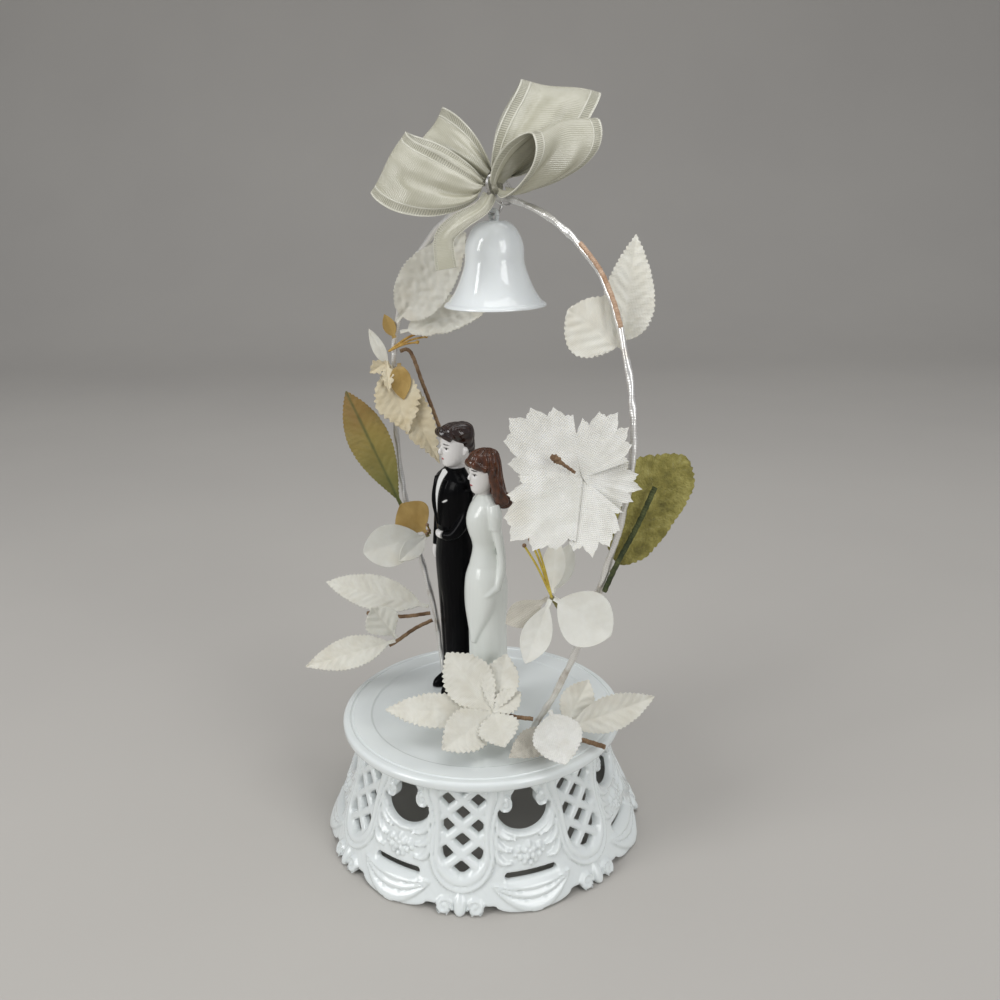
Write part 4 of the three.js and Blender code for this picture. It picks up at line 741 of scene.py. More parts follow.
def bell():
    outer = [(r * BELL_RIM, CROWN - drop * BELL_HEIGHT) for r, drop in smooth_line(BELL_SHARES, 44)]
    lip = CROWN - BELL_HEIGHT
    outer = outer[:-3] + [(BELL_RIM - into, lip + rise) for into, rise in RIM_BEAD]
    inner = [(max(r - BELL_WALL, 0), z - BELL_WALL * (z - lip) / BELL_HEIGHT) for r, z in outer[:-4]][::-1]
    inner = [p for p in inner if p[0] > 0.3]
    profile = [(0, CROWN), *outer, (BELL_RIM - BELL_WALL, lip), *inner, (0, CROWN - BELL_WALL)]
    shell = smooth(turned("bell", profile, BELL_TOP, 128), BELL_ANGLE)
    eye = ring("eye", hung(EYE), EYE_RADIUS, EYE_RADIUS, ACROSS, UP, EYE_WIRE)
    staple = ring("staple", hung(STAPLE), STAPLE_RADIUS, STAPLE_RADIUS, ACROSS, UP, LINK_WIRE)
    return joined("bell", [shell, eye, staple])


def clapper():
    pivot = STAPLE - STAPLE_RADIUS
    loop_at = pivot + LINK_WIRE + CLEARANCE - STAPLE_RADIUS
    loop = ring("loop", hung(loop_at), STAPLE_RADIUS, STAPLE_RADIUS, DEEP, UP, LINK_WIRE)
    rod = tube("rod", [hung(z) for z in np.linspace(loop_at - 1.3, pivot - CLAPPER_DROP, 8)], LINK_WIRE / 2, 12)
    ball = added(bpy.ops.mesh.primitive_uv_sphere_add, segments=28, ring_count=18, radius=CLAPPER_BALL * MM,
                 location=hung(pivot - CLAPPER_DROP) * MM)
    return smooth(joined("clapper", [loop, rod, ball]), ROUND_ANGLE)


finished(bell(), BELL_PLASTIC, "bell_shell", "bell")
hanger = ring("bell_hanger", hung((HANGER_TOP + HANGER_FOOT) / 2), HANGER_WIDE, HANGER_HIGH, DEEP, UP, LINK_WIRE)
finished(hanger, WIRE, "bell_hanger_loop", "hanger")
finished(clapper(), WIRE, "bell_clapper", "clapper")


# Cloth: a flat grid whose points are moved to the shape of the leaf, petal or ribbon
CLOTH_THICK, RIBBON_THICK = 0.3, 0.25
# The share of a leaf that its teeth leave, and the share of a flower's petal that is its plain foot
TEETH_LEAVE, FLOWER_TAB = 0.97, 0.02
STEM_POINTS, FILAMENT = 48, 0.7
SEEDS = iter(range(1, 400))


def cloth_grid(name, rows, columns):
    """A grid with each point's place across it, from -1 to 1, and along it, from 0 to 1."""
    obj = added(bpy.ops.mesh.primitive_grid_add, x_subdivisions=columns, y_subdivisions=rows, size=2)
    obj.name = name
    flat = read(obj.data.vertices, "co", 3).astype(float)
    return obj, flat[:, 0], (flat[:, 1] + 1) / 2


def thickened(obj, node, material, thick):
    """Gives a cut its thickness and finish."""
    applied(obj, "SOLIDIFY", thickness=thick * MM, offset=0.0)
    finished(smooth(obj, CLOTH_ANGLE), material, node)


def zigzag(x):
    return np.abs(x - np.floor(x) - 0.5) * 2


def swelling(t, tab, broad, fullness):
    """Width of a leaf along its length, broadest at the share given."""
    past_tab = np.clip((t - tab) / (1 - tab), 0, 1)
    power = math.log(0.5) / math.log(broad)
    return np.sin(math.pi * np.clip(past_tab**power, 0, 1)).clip(0, 1) ** fullness


def cut_axes(reach, face):
    """Directions along a cut, across it and out of its face."""
    along = unit(reach)
    normal = unit(face - along * (np.asarray(face) @ along))
    return along, np.cross(along, normal), normal


def blade(base, reach, width, face=FRONT, bow=0.0, fold=0.25, broad=0.45, tab=0.08, fullness=0.8, tooth=0.55,
          pitch=1.5, ragged=0.25, veins=0.14, crinkle=0.5, quilt=0.08, lean=0.0, ahead=0.0, columns=30):
    """One leaf or petal. Returns its object and the flat area of its cut in square metres."""
    seed, vein_pitch = next(SEEDS), 3.4
    length = np.linalg.norm(reach)
    along, across, normal = cut_axes(reach, face)
    walk = np.linspace(0, 1, 600)
    cut_line = np.maximum(width / 2 * swelling(walk, tab, broad, fullness), 0.6 * (1 - walk) + 0.12)
    edge_run = np.r_[0, np.cumsum(np.hypot(length * np.diff(walk), np.diff(cut_line)))]
    rows = int(min(4 * math.ceil(edge_run[-1] / pitch), 240))
    obj, s, v = cloth_grid("cut", rows, columns)
    t = np.interp(v, edge_run / edge_run[-1], walk)
    half = np.interp(t, walk, cut_line)
    # Teeth bite in square to the edge
    slope = np.interp(t, walk, np.gradient(cut_line, walk)) / length
    count = v * edge_run[-1] / pitch + 0.13 * seed + 0.5 * (s > 0)
    uneven = 1 + ragged * np.sin(GOLDEN_TURN * np.floor(count) * (1 + (s > 0)) + seed)
    bite = np.minimum(tooth * uneven, 0.5 * half) * zigzag(count) * np.clip(12 * (t - tab), 0, 1)
    tilt = 1 / np.hypot(1, slope)
    side = s * (half - bite * tilt) * (1 + lean * np.sign(s) * np.sin(math.pi * t))
    run = t * length + bite * slope * tilt * np.abs(s) ** 3
    # Pressed veins, the fold along the midrib, and creases
    rib = np.exp(-((side / 0.6) ** 2))
    slanted = np.cos(TURN * (run - 0.9 * np.abs(side)) / vein_pitch)
    ripple = np.abs(slanted) ** 0.7 * np.sign(slanted) * (1 - rib) * np.clip(1.2 - s**2, 0, 1)
    lift = (fold * half * (np.sqrt(s**2 + 0.03) - 0.17) + bow * np.sin(math.pi * t / 2) ** 2
            + ahead * np.clip(5 * t, 0, 1))
    points = base + np.outer(run, along) + np.outer(side, across)
    creased = crinkle * wander(points, 6.0, seed) * (0.3 + 0.7 * s**2) + quilt * wander(points, 2.2, seed + 9)
    emboss = veins * (ripple - 1.6 * rib) * (1 + 0.8 * wander(points, 5.0, seed + 5))
    moved_points(obj, points + np.outer(lift + (emboss + creased) * np.clip(8 * t, 0, 1), normal))
    set_uv(obj, (side + width / 2) * UV_MM, run * UV_MM)
    return obj, 2 * float(cut_line.mean()) * length * MM * MM * TEETH_LEAVE


def pinked(base, reach, width, face):
    """A wedge of cloth with pointed teeth cut along its end. Returns what blade does."""
    seed, tooth, teeth, open_to = next(SEEDS), 2.2, 6, 0.74
    obj, s, v = cloth_grid("cut", 36, 60)
    along, across, normal = cut_axes(reach, face)
    place = s * teeth / 2
    uneven = 1 + 0.4 * np.sin(GOLDEN_TURN * np.floor(place) + seed)
    end = np.linalg.norm(reach) * (1.1 - 0.36 * np.abs(s) ** 1.3)
    end = end - tooth * uneven * (1 - zigzag(place)) - 0.25 * tooth * (1 - zigzag(3 * place))
    turn, run = s * open_to, v * end
    points = base + np.outer(run * np.cos(turn), along) + np.outer(run * np.sin(turn), across)
    away = v**2
    lift = away + 0.45 * away * np.cos(2.2 * s)
    lift = lift + 0.3 * wander(points, 7.0, seed) * away + 0.09 * wander(points, 2.4, seed + 9)
    moved_points(obj, points + np.outer(lift, normal))
    set_uv(obj, (run * np.sin(turn) + width) * UV_MM, run * np.cos(turn) * UV_MM)
    return obj, float((end**2).mean()) * open_to * MM * MM


def cut_cloth(node, cuts, material):
    """One sheet of cuts, joined and thickened. Each cut comes with its flat area, which is not used."""
    obj = joined("cloth_" + node, [cut for cut, _ in cuts])
    thickened(obj, node, material, CLOTH_THICK)


def arch_leaf(node, side, height, reach, width, material, towards, lift=0.0, **shape):
    """A leaf that starts at the arch, on the side that towards points to."""
    base = beside_arch(side, height, at(*towards), LEAF_TAB / 2 + lift)
    cut_cloth(node, [blade(base, at(*reach), width, **shape)], material)


def petal(node, end, reach, width, material, forward=0.0, **shape):
    """A leaf or petal at the end of a stem."""
    base = end + unit(reach) * (STEM / 2 + CLEARANCE) + FRONT * forward
    cut_cloth(node, [blade(base, at(*reach), width, **shape)], material)


def cut_flower(node, hub, tips, widths, face, material, on, cut=blade, **shape):
    """Petals round a hub: leaf-shaped ones from a strip, or wedges from a square."""
    if cut is blade:
        shape["tab"] = FLOWER_TAB
    made = []
    for k, (tip, width) in enumerate(zip(tips, widths)):
        base = hub + unit(face) * (0.2 * ((2 * k) % (len(tips) | 1)) - 0.4)
        made.append(cut(base, at(*tip), width, face=face, **shape))
    cut_cloth(node, made, material)


def knobs(run, turn):
    return 1 + 0.07 * np.sin(run * 2.3 + turn) + 0.05 * np.sin(run * 5.1 - 2 * turn)


def rough(run, turn):
    return 1 + 0.16 * np.sin(run * 4.1 + 3 * turn) + 0.1 * np.sin(run * 7.3 - 2 * turn)


def stem(node, line, material, diameter=STEM, radii=None, sides=12, shape=knobs):
    """A wound stem, as thick as its diameter less the knobs of its winding."""
    radii = diameter / 2 * 0.97 if radii is None else radii
    obj = tube("wound_" + node, smooth_line(line, STEM_POINTS), radii, sides, shape)
    finished(smooth(obj, ROUND_ANGLE), material, node)


def arch_stem(node, side, height, towards, route, material, diameter=STEM):
    """A stem that starts beside the arch. Returns its far end."""
    seat = beside_arch(side, height, at(*towards), diameter / 2)
    line = [seat, *[seat + at(*p) for p in route]]
    stem(node, line, material, diameter)
    return line[-1]


def threads(node, base, tips, material, head=None):
    """Stamens: threads with a knob at each end, in a colour of their own where head is given."""
    made = []
    for k, tip in enumerate(tips):
        tip = at(*tip)
        end = base + tip
        line = smooth_line([base, base + 0.55 * tip + at(0, 0, 0.06 * np.linalg.norm(tip)), end], 24)
        filament = tube("filament", line, FILAMENT * 0.5, 8)
        knob = added(bpy.ops.mesh.primitive_ico_sphere_add, subdivisions=2, radius=FILAMENT * 0.95 * MM,
                     location=end * MM)
        spots = points_of(knob)
        moved_points(knob, spots + (spots - end) * 0.25 * wander(spots, 0.6, k)[:, None])
        if head is not None:
            filament.data.materials.append(material)
            knob.data.materials.append(material)
            knob.data.materials.append(head)
            knob.data.polygons.foreach_set("material_index", [1] * len(knob.data.polygons))
        made += [filament, knob]
    obj = smooth(joined("threads_" + node, made), ROUND_ANGLE)
    finished(obj, material, node, own=head is not None)


BACK = -FRONT
TILTED = at(0.55, -0.5, 0.7)
PLAIN = {"tooth": 0.05, "veins": 0.03, "crinkle": 0.3}
# Upper right: taped stem end and two leaves
stem("upper_right_taped_stem", [beside_arch("right", h, FRONT, STEM / 2) for h in (135, 142, 149, 156)], PEACH_TAPE)
arch_leaf("upper_right_tall_leaf", "right", 130, (-7.1, 12, 30.5), 15, IVORY, BACK, 2, bow=-1, fold=0.3, broad=0.32)
arch_leaf("upper_right_short_leaf", "right", 130, (-11, -10.3, 10.7), 19, IVORY, BACK, bow=-1.6,
          fold=0.02, broad=0.5, fullness=0.6)
# Upper left: two broad leaves in front of the arch
arch_leaf("upper_left_tall_leaf", "left", 128, (26, 11, 30), 19, IVORY, FRONT, bow=-0.9, broad=0.4,
          fullness=0.65, veins=0.1, crinkle=0.5, quilt=0.6, columns=40)
arch_leaf("upper_left_low_leaf", "left", 124.5, (22, 26.2, 9.3), 15, IVORY, (0.8, 0.2, 0), bow=2,
          face=at(0.6, -0.5, 0.7), fullness=0.65, veins=0.1, crinkle=0.8, quilt=0.7, columns=40)
# Left leg: a cut flower hangs from its hub, with gold stamens, narrow petals and a brown stem
HUB_SIDE = at(0.1, -0.95, 0.2)
cut_flower("left_cut_flower", beside_arch("left", 114, HUB_SIDE, 1.8),
           ((12.3, 0, -23.7), (19.8, 7.5, -34.3), (5.7, -2.8, -9.7), (-1.4, -6.2, -3.6)), (17, 13, 5, 6), FRONT,
           AGED, "arch_wire", tooth=1.0, pitch=2.4, bow=1, broad=0.5, fullness=1.0, ragged=0.6)
threads("left_gold_stamens", beside_arch("left", 118, HUB_SIDE, 1.05),
        ((9.8, 10, 7.3), (8.8, 8.6, 7), (10.1, 9.3, 5.3), (8.6, 6.5, 3.4)), GOLD)
arch_stem("left_brown_stem", "left", 117.5, (0.4, 0.9, 0), ((1.6, 2.3, 0.4), (7.7, 4, -11.4), (15.6, 5.6, -27.6)), TAPE)
arch_leaf("left_outer_narrow_petal", "left", 111.5, (-7.7, -2.7, 13.5), 4.5, IVORY, (-1, -0.4, 0), **PLAIN)
arch_leaf("left_inner_narrow_petal", "left", 122.5, (-2.8, -1.9, 8.1), 4.5, TAN, FRONT, **PLAIN)
arch_leaf("left_tan_petal", "left", 113, (4.3, -1.2, -12.6), 7.5, TAN, (0.7, 0.7, 0), ahead=4.2, **PLAIN)
arch_leaf("left_olive_leaf", "left", 61, (-17.4, -10.3, 42.5), 15, SMOOTH_OLIVE, (0.2, -1, 0), bow=3,
          broad=0.56, tooth=0.35, veins=0.04, crinkle=0.6)
# Left leg, halfway: a blossom on a short stem
end = arch_stem("left_blossom_stem", "left", 50, (1, 0, 0), ((2, 0.6, 1.4), (4, 1.4, 2.6)), GREEN_TAPE)
petal("left_blossom_round_petal", end, (-8.2, -20.9, -3.8), 15, IVORY_FINE, broad=0.55,
      forward=0.3, fullness=0.6, **PLAIN)
petal("left_blossom_tan_petal", end, (-8.7, -4.8, 9.6), 14, TAN, broad=0.5, **PLAIN)
petal("left_blossom_small_petal", end, (-0.8, -11.3, -6.8), 7, IVORY_FINE, bow=1, forward=1.4, **PLAIN)
threads("left_blossom_stamens", end + at(1.9, -0.4, 1.2), ((1, -1.8, 3.8), (1.8, -1.6, 2), (2, -2.8, 1)),
        YELLOW, head=TAPE)
# Lower left: a side stem with two leaves and a petal
end = arch_stem("lower_left_stem", "left", 22, (0.2, -1, 0),
                ((-2.3, -5.8, -2.2), (-3.9, -13.1, -5.7), (-4.6, -16, -6.9)), TAPE)
arch_leaf("lower_left_curled_leaf", "left", 27, (-35.8, -20.4, 2.2), 14, IVORY, (-0.4, -1, 0), bow=4, face=TILTED)
SPRIG = end + at(2, 2.5, 2.2)
petal("lower_left_round_petal", SPRIG, (-3.2, -7.5, 13.1), 13, IVORY, broad=0.58, forward=0.2)
petal("lower_left_long_leaf", SPRIG, (-13.5, -29.1, -6.4), 12.5, IVORY, bow=1, face=TILTED, forward=-0.3)
arch_stem("lower_left_stem_end", "left", 24.2, (-0.9, -0.6, 0), ((-7, -8, -1.4), (-16.8, -16.7, -0.8)), TAPE)
# Right leg: the largest cut flower on its stem, then the olive leaf with its rib
end = arch_stem("right_flower_stem", "right", 95, (0, -1, 0), ((-2.4, -5, 0.6), (-7, -10, 0.2)), TAPE)
BIG_HUB = end + FRONT * (STEM / 2 + CLEARANCE + 2)
cut_flower("right_cut_flower", BIG_HUB,
           ((-13.4, -12.6, 15), (1.8, 10, 15.4), (6.9, 13.5, -4.1), (6.4, -2.4, -18.8), (-6.4, -18.4, -14.2)),
           (21, 18, 15, 17, 19), FRONT, WHITE_WEAVE, "right_flower_stem", cut=pinked)
swell = np.interp(np.linspace(0, 1, STEM_POINTS), (0, 0.55, 0.72, 0.92, 1), (0.42, 0.48, 1.0, 0.95, 0.5))
tongue = [BIG_HUB + at(-0.64, -0.54, 0.54) * (2.6 + 4 * k) + FRONT * 1.6 * (1 + k) for k in range(3)]
stem("right_flower_pistil", tongue, TAPE, radii=swell, sides=14, shape=rough)
arch_leaf("right_olive_leaf", "right", 65, (2.5, 26.1, 30.9), 25, VELVET_OLIVE, (0.5, 0.8, 0.4), bow=1,
          broad=0.5, fullness=0.6, tooth=0.7, pitch=2.2, ragged=0.6, crinkle=0.8, quilt=0.3,
          lean=-0.42, ahead=1.4, columns=40)
arch_stem("right_olive_leaf_rib", "right", 60, (0.9, -0.1, 0.3),
          ((2.5, 2.6, 8.8), (3.6, 9.6, 19.4), (4.2, 15.6, 29.5)), DARK_TAPE, THICK_STEM)
# Lower right: a blossom of plain petals
end = arch_stem("lower_right_blossom_stem", "right", 44, (-0.8, -0.6, 0), ((-1.6, -3, 5), (-3.9, -6.6, 12)), GREEN_TAPE)
petal("lower_right_round_petal", end, (16.8, 7.1, -7.9), 17, IVORY_FINE, broad=0.55, forward=0.5,
      fullness=0.6, **PLAIN)
petal("lower_right_narrow_petal", end, (4, -13, -15.2), 9, IVORY_FINE, broad=0.55, **PLAIN)
petal("lower_right_tan_petal", end, (-5.3, -12, -6.7), 8, SHADED_IVORY_CLOTH, broad=0.6, forward=-1.2, **PLAIN)
petal("lower_right_inner_upright_petal", end, (-5.1, 6.3, 14.7), 7, IVORY_FINE, **PLAIN)
petal("lower_right_outer_upright_petal", end, (-4, 11.4, 12.1), 7, IVORY_FINE, forward=-1.4, **PLAIN)
threads("lower_right_stamens", end + FRONT * 2.4, ((-6.4, -5, 15.6), (-6, -3, 17), (-4.6, -2, 16.4)),
        YELLOW, head=TAPE)
# Front of the platform: a rosette tied to the right foot
end = arch_stem("rosette_stem", "right", 8, (-0.4, -0.9, 0), ((-5, -4.4, 0.4), (-11.5, -7.1, 0.7)), TAPE)
cut_flower("front_rosette", end + FRONT * (STEM / 2 + CLEARANCE + 2),
           ((-23.2, -26.3, 0.4), (-19, -4.5, 15.3), (-7.2, 11.4, 14), (1.6, 10, 4), (0.4, -21.1, -5.6),
            (12.4, -5.2, -5.6)),
           (12, 17, 13, 9, 15, 14), at(0.6, -0.5, 0.62), IVORY, "rosette_stem", tooth=0.8, pitch=1.7,
           bow=1, broad=0.5, fullness=0.75, veins=0.06)
# Right of the platform: a tied cluster of leaves on a stub
end = arch_stem("platform_cluster_stub", "right", 5, (1, 0.3, 0),
                ((7, 4, -0.4), (13, 8, -1.2), (19, 11, -1.8)), TAPE, THICK_STEM)
TIE = end + at(-12, -7.4, 3.4)
petal("platform_cluster_up_leaf", TIE, (-1.7, 12.5, 11.7), 12, IVORY, bow=0.4, forward=-1.7)
petal("platform_cluster_right_leaf", TIE, (11.5, 27.6, 7.2), 12, IVORY, bow=2.6)
petal("platform_cluster_left_leaf", TIE, (0.5, -21.7, -1.6), 11, SHADED_IVORY_CLOTH, bow=1, forward=-1.4, face=FLAT)
arch_leaf("platform_cluster_front_leaf", "right", 15, (16, -7.4, -10), 16, WHITE_WEAVE, (0.9, -0.2, 0.1),
          bow=3, broad=0.5, fullness=0.6)

# Ribbon bow
KNOT = at(BELL_TOP[0] + 6.4, BELL_TOP[1] - 4.2, BELL_TOP[2] + 3.6)
KNOT_RADIUS, RIBBON, GATHER, TIE_WIRE = 2.3, 25.0, 4.0, 0.5
# The shares of a loop's way that are hidden at its start and that show
LOOP_FROM, LOOP_SHOWN = 0.04, 0.92


def ribbon_loop(node, seed, reach, across, belly, start, width, sag=(0, 0, 0)):
    """A loop of ribbon that leaves the knot, turns at its reach and comes back."""
    obj, s, v = cloth_grid("ribbon_" + node, 120, 28)
    length = float(np.linalg.norm(reach))
    reach, side = at(*reach), unit(across)
    normal = unit(np.cross(reach, side))
    t = LOOP_FROM + LOOP_SHOWN * v
    far = (1 - np.cos(TURN * t)) / 2
    half = (GATHER + (width - GATHER) * np.sin(math.pi / 2 * np.minimum(1, 1.2 * far)) ** 0.85) / 2
    out = belly * np.sin(TURN * t) * (0.25 + 0.75 * far) + (0.5 - t) * 1.6
    gathers = (1 - far) ** 0.7 * (1.1 * np.sin(s * 6.5 + seed + t) + 0.35 * np.sin(s * 14 + 2 * seed))
    gathers = gathers + 1.1 * far * np.sin(s * 3.6 + 1.7 * seed + 5 * t)
    points = (KNOT + at(*start) + np.outer(far, reach) + np.outer(out + gathers, normal)
              + np.outer(np.maximum(-np.sin(TURN * t), 0), at(*sag)) + np.outer(s * half, side))
    moved_points(obj, points + np.outer(0.7 * wander(points, 8, seed), normal))
    set_uv(obj, (s + 1) / 2, v * length * 2 * UV_MM)
    thickened(obj, node, SATIN, RIBBON_THICK)


ribbon_loop("bow_left_front_loop", 1, (-18.4, -20.2, 7.6), (2.3, 12.6, 18.5), 2.6, (-1.2, -4.1, -0.4), 21,
            (0.6, 0.4, -4.6))
ribbon_loop("bow_left_back_loop", 2, (-18, -9.6, 12.4), (2.6, 12.6, 17.6), 2, (-3.6, 0.6, 2.2), 19)
ribbon_loop("bow_right_front_loop", 3, (12.6, 14.2, 16), (3.2, 22.4, 4.3), 3.8, (3.7, -1.5, 0), 23, (4, -1, -5))
ribbon_loop("bow_right_back_loop", 4, (4.8, 19.2, 24.6), (14.6, 16.9, -3.5), 5.0, (-0.6, 2.8, 2.8), 24,
            (2.2, -2.2, -4.5))


def ribbon_tail():
    """The ribbon's end, folded narrow, hanging from the knot in front of the bell."""
    obj, s, v = cloth_grid("ribbon_bow_tail", 70, 14)
    route = ((0.8, -2.6, -2.6), (1.6, -6.4, -6.2), (-1, -12.6, -10), (-3, -16.6, -14), (-2.2, -17.6, -19),
             (-1, -17.8, -23))
    last, lean = 199, at(0.6, 0.8, 0.2)
    line = smooth_line([KNOT + at(*p) for p in route], last + 1)
    spot = np.clip((v * last).round().astype(int), 0, last)
    tangent, _, _ = frames_along(line)
    along = tangent[spot]
    side = lean - along * (along @ lean)[:, None]
    side /= np.linalg.norm(side, axis=1)[:, None]
    half = (GATHER + (RIBBON / 4 - GATHER) * v**0.6) / 2
    normal = np.cross(along, side)
    moved_points(obj, line[spot] + side * (s * half)[:, None] + normal * (0.5 * (1 - v) * np.sin(5 * s))[:, None])
    set_uv(obj, (s + 1) / 2, v * 0.3)
    thickened(obj, "bow_tail", SATIN, RIBBON_THICK)


def knot():
    obj = added(bpy.ops.mesh.primitive_uv_sphere_add, segments=40, ring_count=28, radius=KNOT_RADIUS * MM,
                location=KNOT * MM)
    obj.name = "ribbon_knot"
    spots = points_of(obj) - KNOT
    turn = np.arctan2(spots[:, 1], spots[:, 0])
    pleat = 1 + 0.09 * np.sin(9 * turn + spots[:, 2] * 1.4) - 0.12 * np.exp(-((spots[:, 2] / 0.7) ** 2))
    moved_points(obj, KNOT + spots * pleat[:, None] * at(1, 1, 1.1))
    return smooth(obj, CLOTH_ANGLE)


def tie_wire():
    """Two turns of wire round the arch and the knot."""
    arch_at = arch_over(KNOT[0])
    long = KNOT - arch_at
    up = unit(long - ACROSS * (long @ ACROSS))
    past_arch, past_knot = ARCH_RADIUS + CLEARANCE + 0.4, KNOT_RADIUS + CLEARANCE + 0.8
    reach = (past_arch + np.linalg.norm(long) + past_knot) / 2
    middle = arch_at + up * (reach - past_arch)
    return joined("bow_binding_wire", [ring("turn", middle + ACROSS * dx, reach, past_knot, up, np.cross(ACROSS, up),
                                            TIE_WIRE) for dx in (-0.35, 0.25)])


ribbon_tail()
finished(knot(), SATIN, "bow_knot")
finished(tie_wire(), WIRE, "bow_tie_wire")


# Couple: each form is a round section drawn up through its levels, then melted together
def lofted(levels):
    """A closed form through elliptical levels of (height, half width, half depth, x, y)."""
    sides, fine = 28, 4
    rows = smooth_line([(*level, *(0,) * (5 - len(level))) for level in levels], fine * len(levels))
    turn = np.linspace(0, TURN, sides, endpoint=False)
    points = np.vstack([np.column_stack([x + a * np.cos(turn), y + b * np.sin(turn), np.full(sides, z)])
                        for z, a, b, x, y in rows])
    ends = [tuple(range(sides))[::-1], tuple(range((len(rows) - 1) * sides, len(rows) * sides))]
    return outward(meshed("form", points, ring_faces(len(rows), sides) + ends))


def limb(points, radii):
    line = smooth_line([(*p, r) for p, r in zip(points, radii)], 30)
    return tube("form", line[:, :3], line[:, 3], 20)


def both(points, radii):
    """The same limb on the right and on the left of the figure."""
    return [limb([(hand * x, y, z) for x, y, z in points], radii) for hand in (-1, 1)]


def melted(name, forms, voxel, relax=6):
    """Forms joined to one skin, then relaxed."""
    obj = joined(name, forms)
    obj.data.materials.clear()
    applied(obj, "REMESH", mode="VOXEL", voxel_size=voxel * MM)
    applied(obj, "SMOOTH", factor=0.5, iterations=relax)
    return obj


def over(colours, share, colour):
    """Colours with another laid over them by its share at each point."""
    return colours * (1 - share[:, None]) + colour * share[:, None]


def paint(obj, colours):
    """Writes a colour for each point, or one for all, to the paint attribute."""
    colours = np.broadcast_to(colours, (len(obj.data.vertices), 3))
    layer = obj.data.attributes.new("paint", "FLOAT_COLOR", "POINT")
    full = np.column_stack([np.clip(colours, 0, 1), np.ones(len(colours))])
    layer.data.foreach_set("color", full.astype(np.float32).ravel())


SUIT, SKIN, SHIRT = at(0.0025, 0.0025, 0.003), at(0.80, 0.78, 0.755), at(0.82, 0.82, 0.80)
GROOM_HAIR, BRIDE_HAIR, GOWN = at(0.020, 0.007, 0.004), at(0.072, 0.020, 0.005), at(0.78, 0.81, 0.765)
LIPS, INK = at(0.42, 0.05, 0.06), at(0.02, 0.014, 0.012)
# Brush marks reach only what is in front of these
FACE_FRONT, CHEST_FRONT = -1.2, -3


def standing(obj, x, y):
    turn = Matrix.Rotation(math.radians(-9), 4, "Z")
    obj.data.transform(Matrix.Translation((x * MM, y * MM, (DISH_TOP + CLEARANCE) * MM)) @ turn)
    return obj


def dabs(p, colours, marks):
    """Brush marks on both sides of a face: (colour, x, z, half width, half height, slope)."""
    for colour, x, z, wide, high, slope in marks:
        away = np.abs(p[:, 0]) - x
        reach = np.hypot(away / wide, (p[:, 2] - z - slope * away) / high)
        share = np.clip((1.15 - reach) / 0.3, 0, 1) * (p[:, 1] < FACE_FRONT)
        colours = over(colours, share, colour)
    return colours


def modelled_face(forms, eye, lip, apart):
    """Neck, head and nose as one, with eye hollows and a mouth, and brushed features."""
    face = melted("face", forms, 0.17, 10)
    p = points_of(face)
    ahead = np.clip(-p[:, 1] / 2, 0, 1)
    hollow = 0.45 * np.exp(-(((np.abs(p[:, 0]) - apart) / 1.1) ** 2 + ((p[:, 2] - eye) / 0.8) ** 2))
    mouth = 0.28 * np.exp(-(p[:, 0] ** 2 + ((p[:, 2] - lip) / 0.42) ** 2))
    p[:, 1] += ahead * (hollow - mouth)
    moved_points(face, p)
    marks = [(INK, apart + 0.1, eye + 1.55, 1.15, 0.2, -0.12), (INK, apart, eye + 0.3, 0.95, 0.17, -0.1),
             (INK, apart - 0.05, eye - 0.02, 0.36, 0.34, 0), (LIPS, 0, lip, 0.95, 0.3, 0)]
    paint(face, dabs(p, SKIN, marks))
    return face


def combed(name, forms, colour, strands, depth, seed):
    """Hair: forms melted together with grooves combed along lines of equal strands value."""
    hair = melted(name, forms, 0.22, 5)
    p = points_of(hair)
    normals = read(hair.data.vertices, "normal", 3)
    lines = strands(p) + 0.5 * wander(p, 3.5, seed)
    grooves = np.sin(TURN * lines)
    moved_points(hair, p + normals * (depth * grooves)[:, None])
    # The wander term gives random tone; the grooves term is painted shade, lighter on the combed crests and darker in
    # the grooves
    shade = 1 + 0.55 * wander(p, 2.2, seed) + 0.25 * grooves
    paint(hair, colour * np.clip(shade, 0.35, 1.7)[:, None])
    return hair


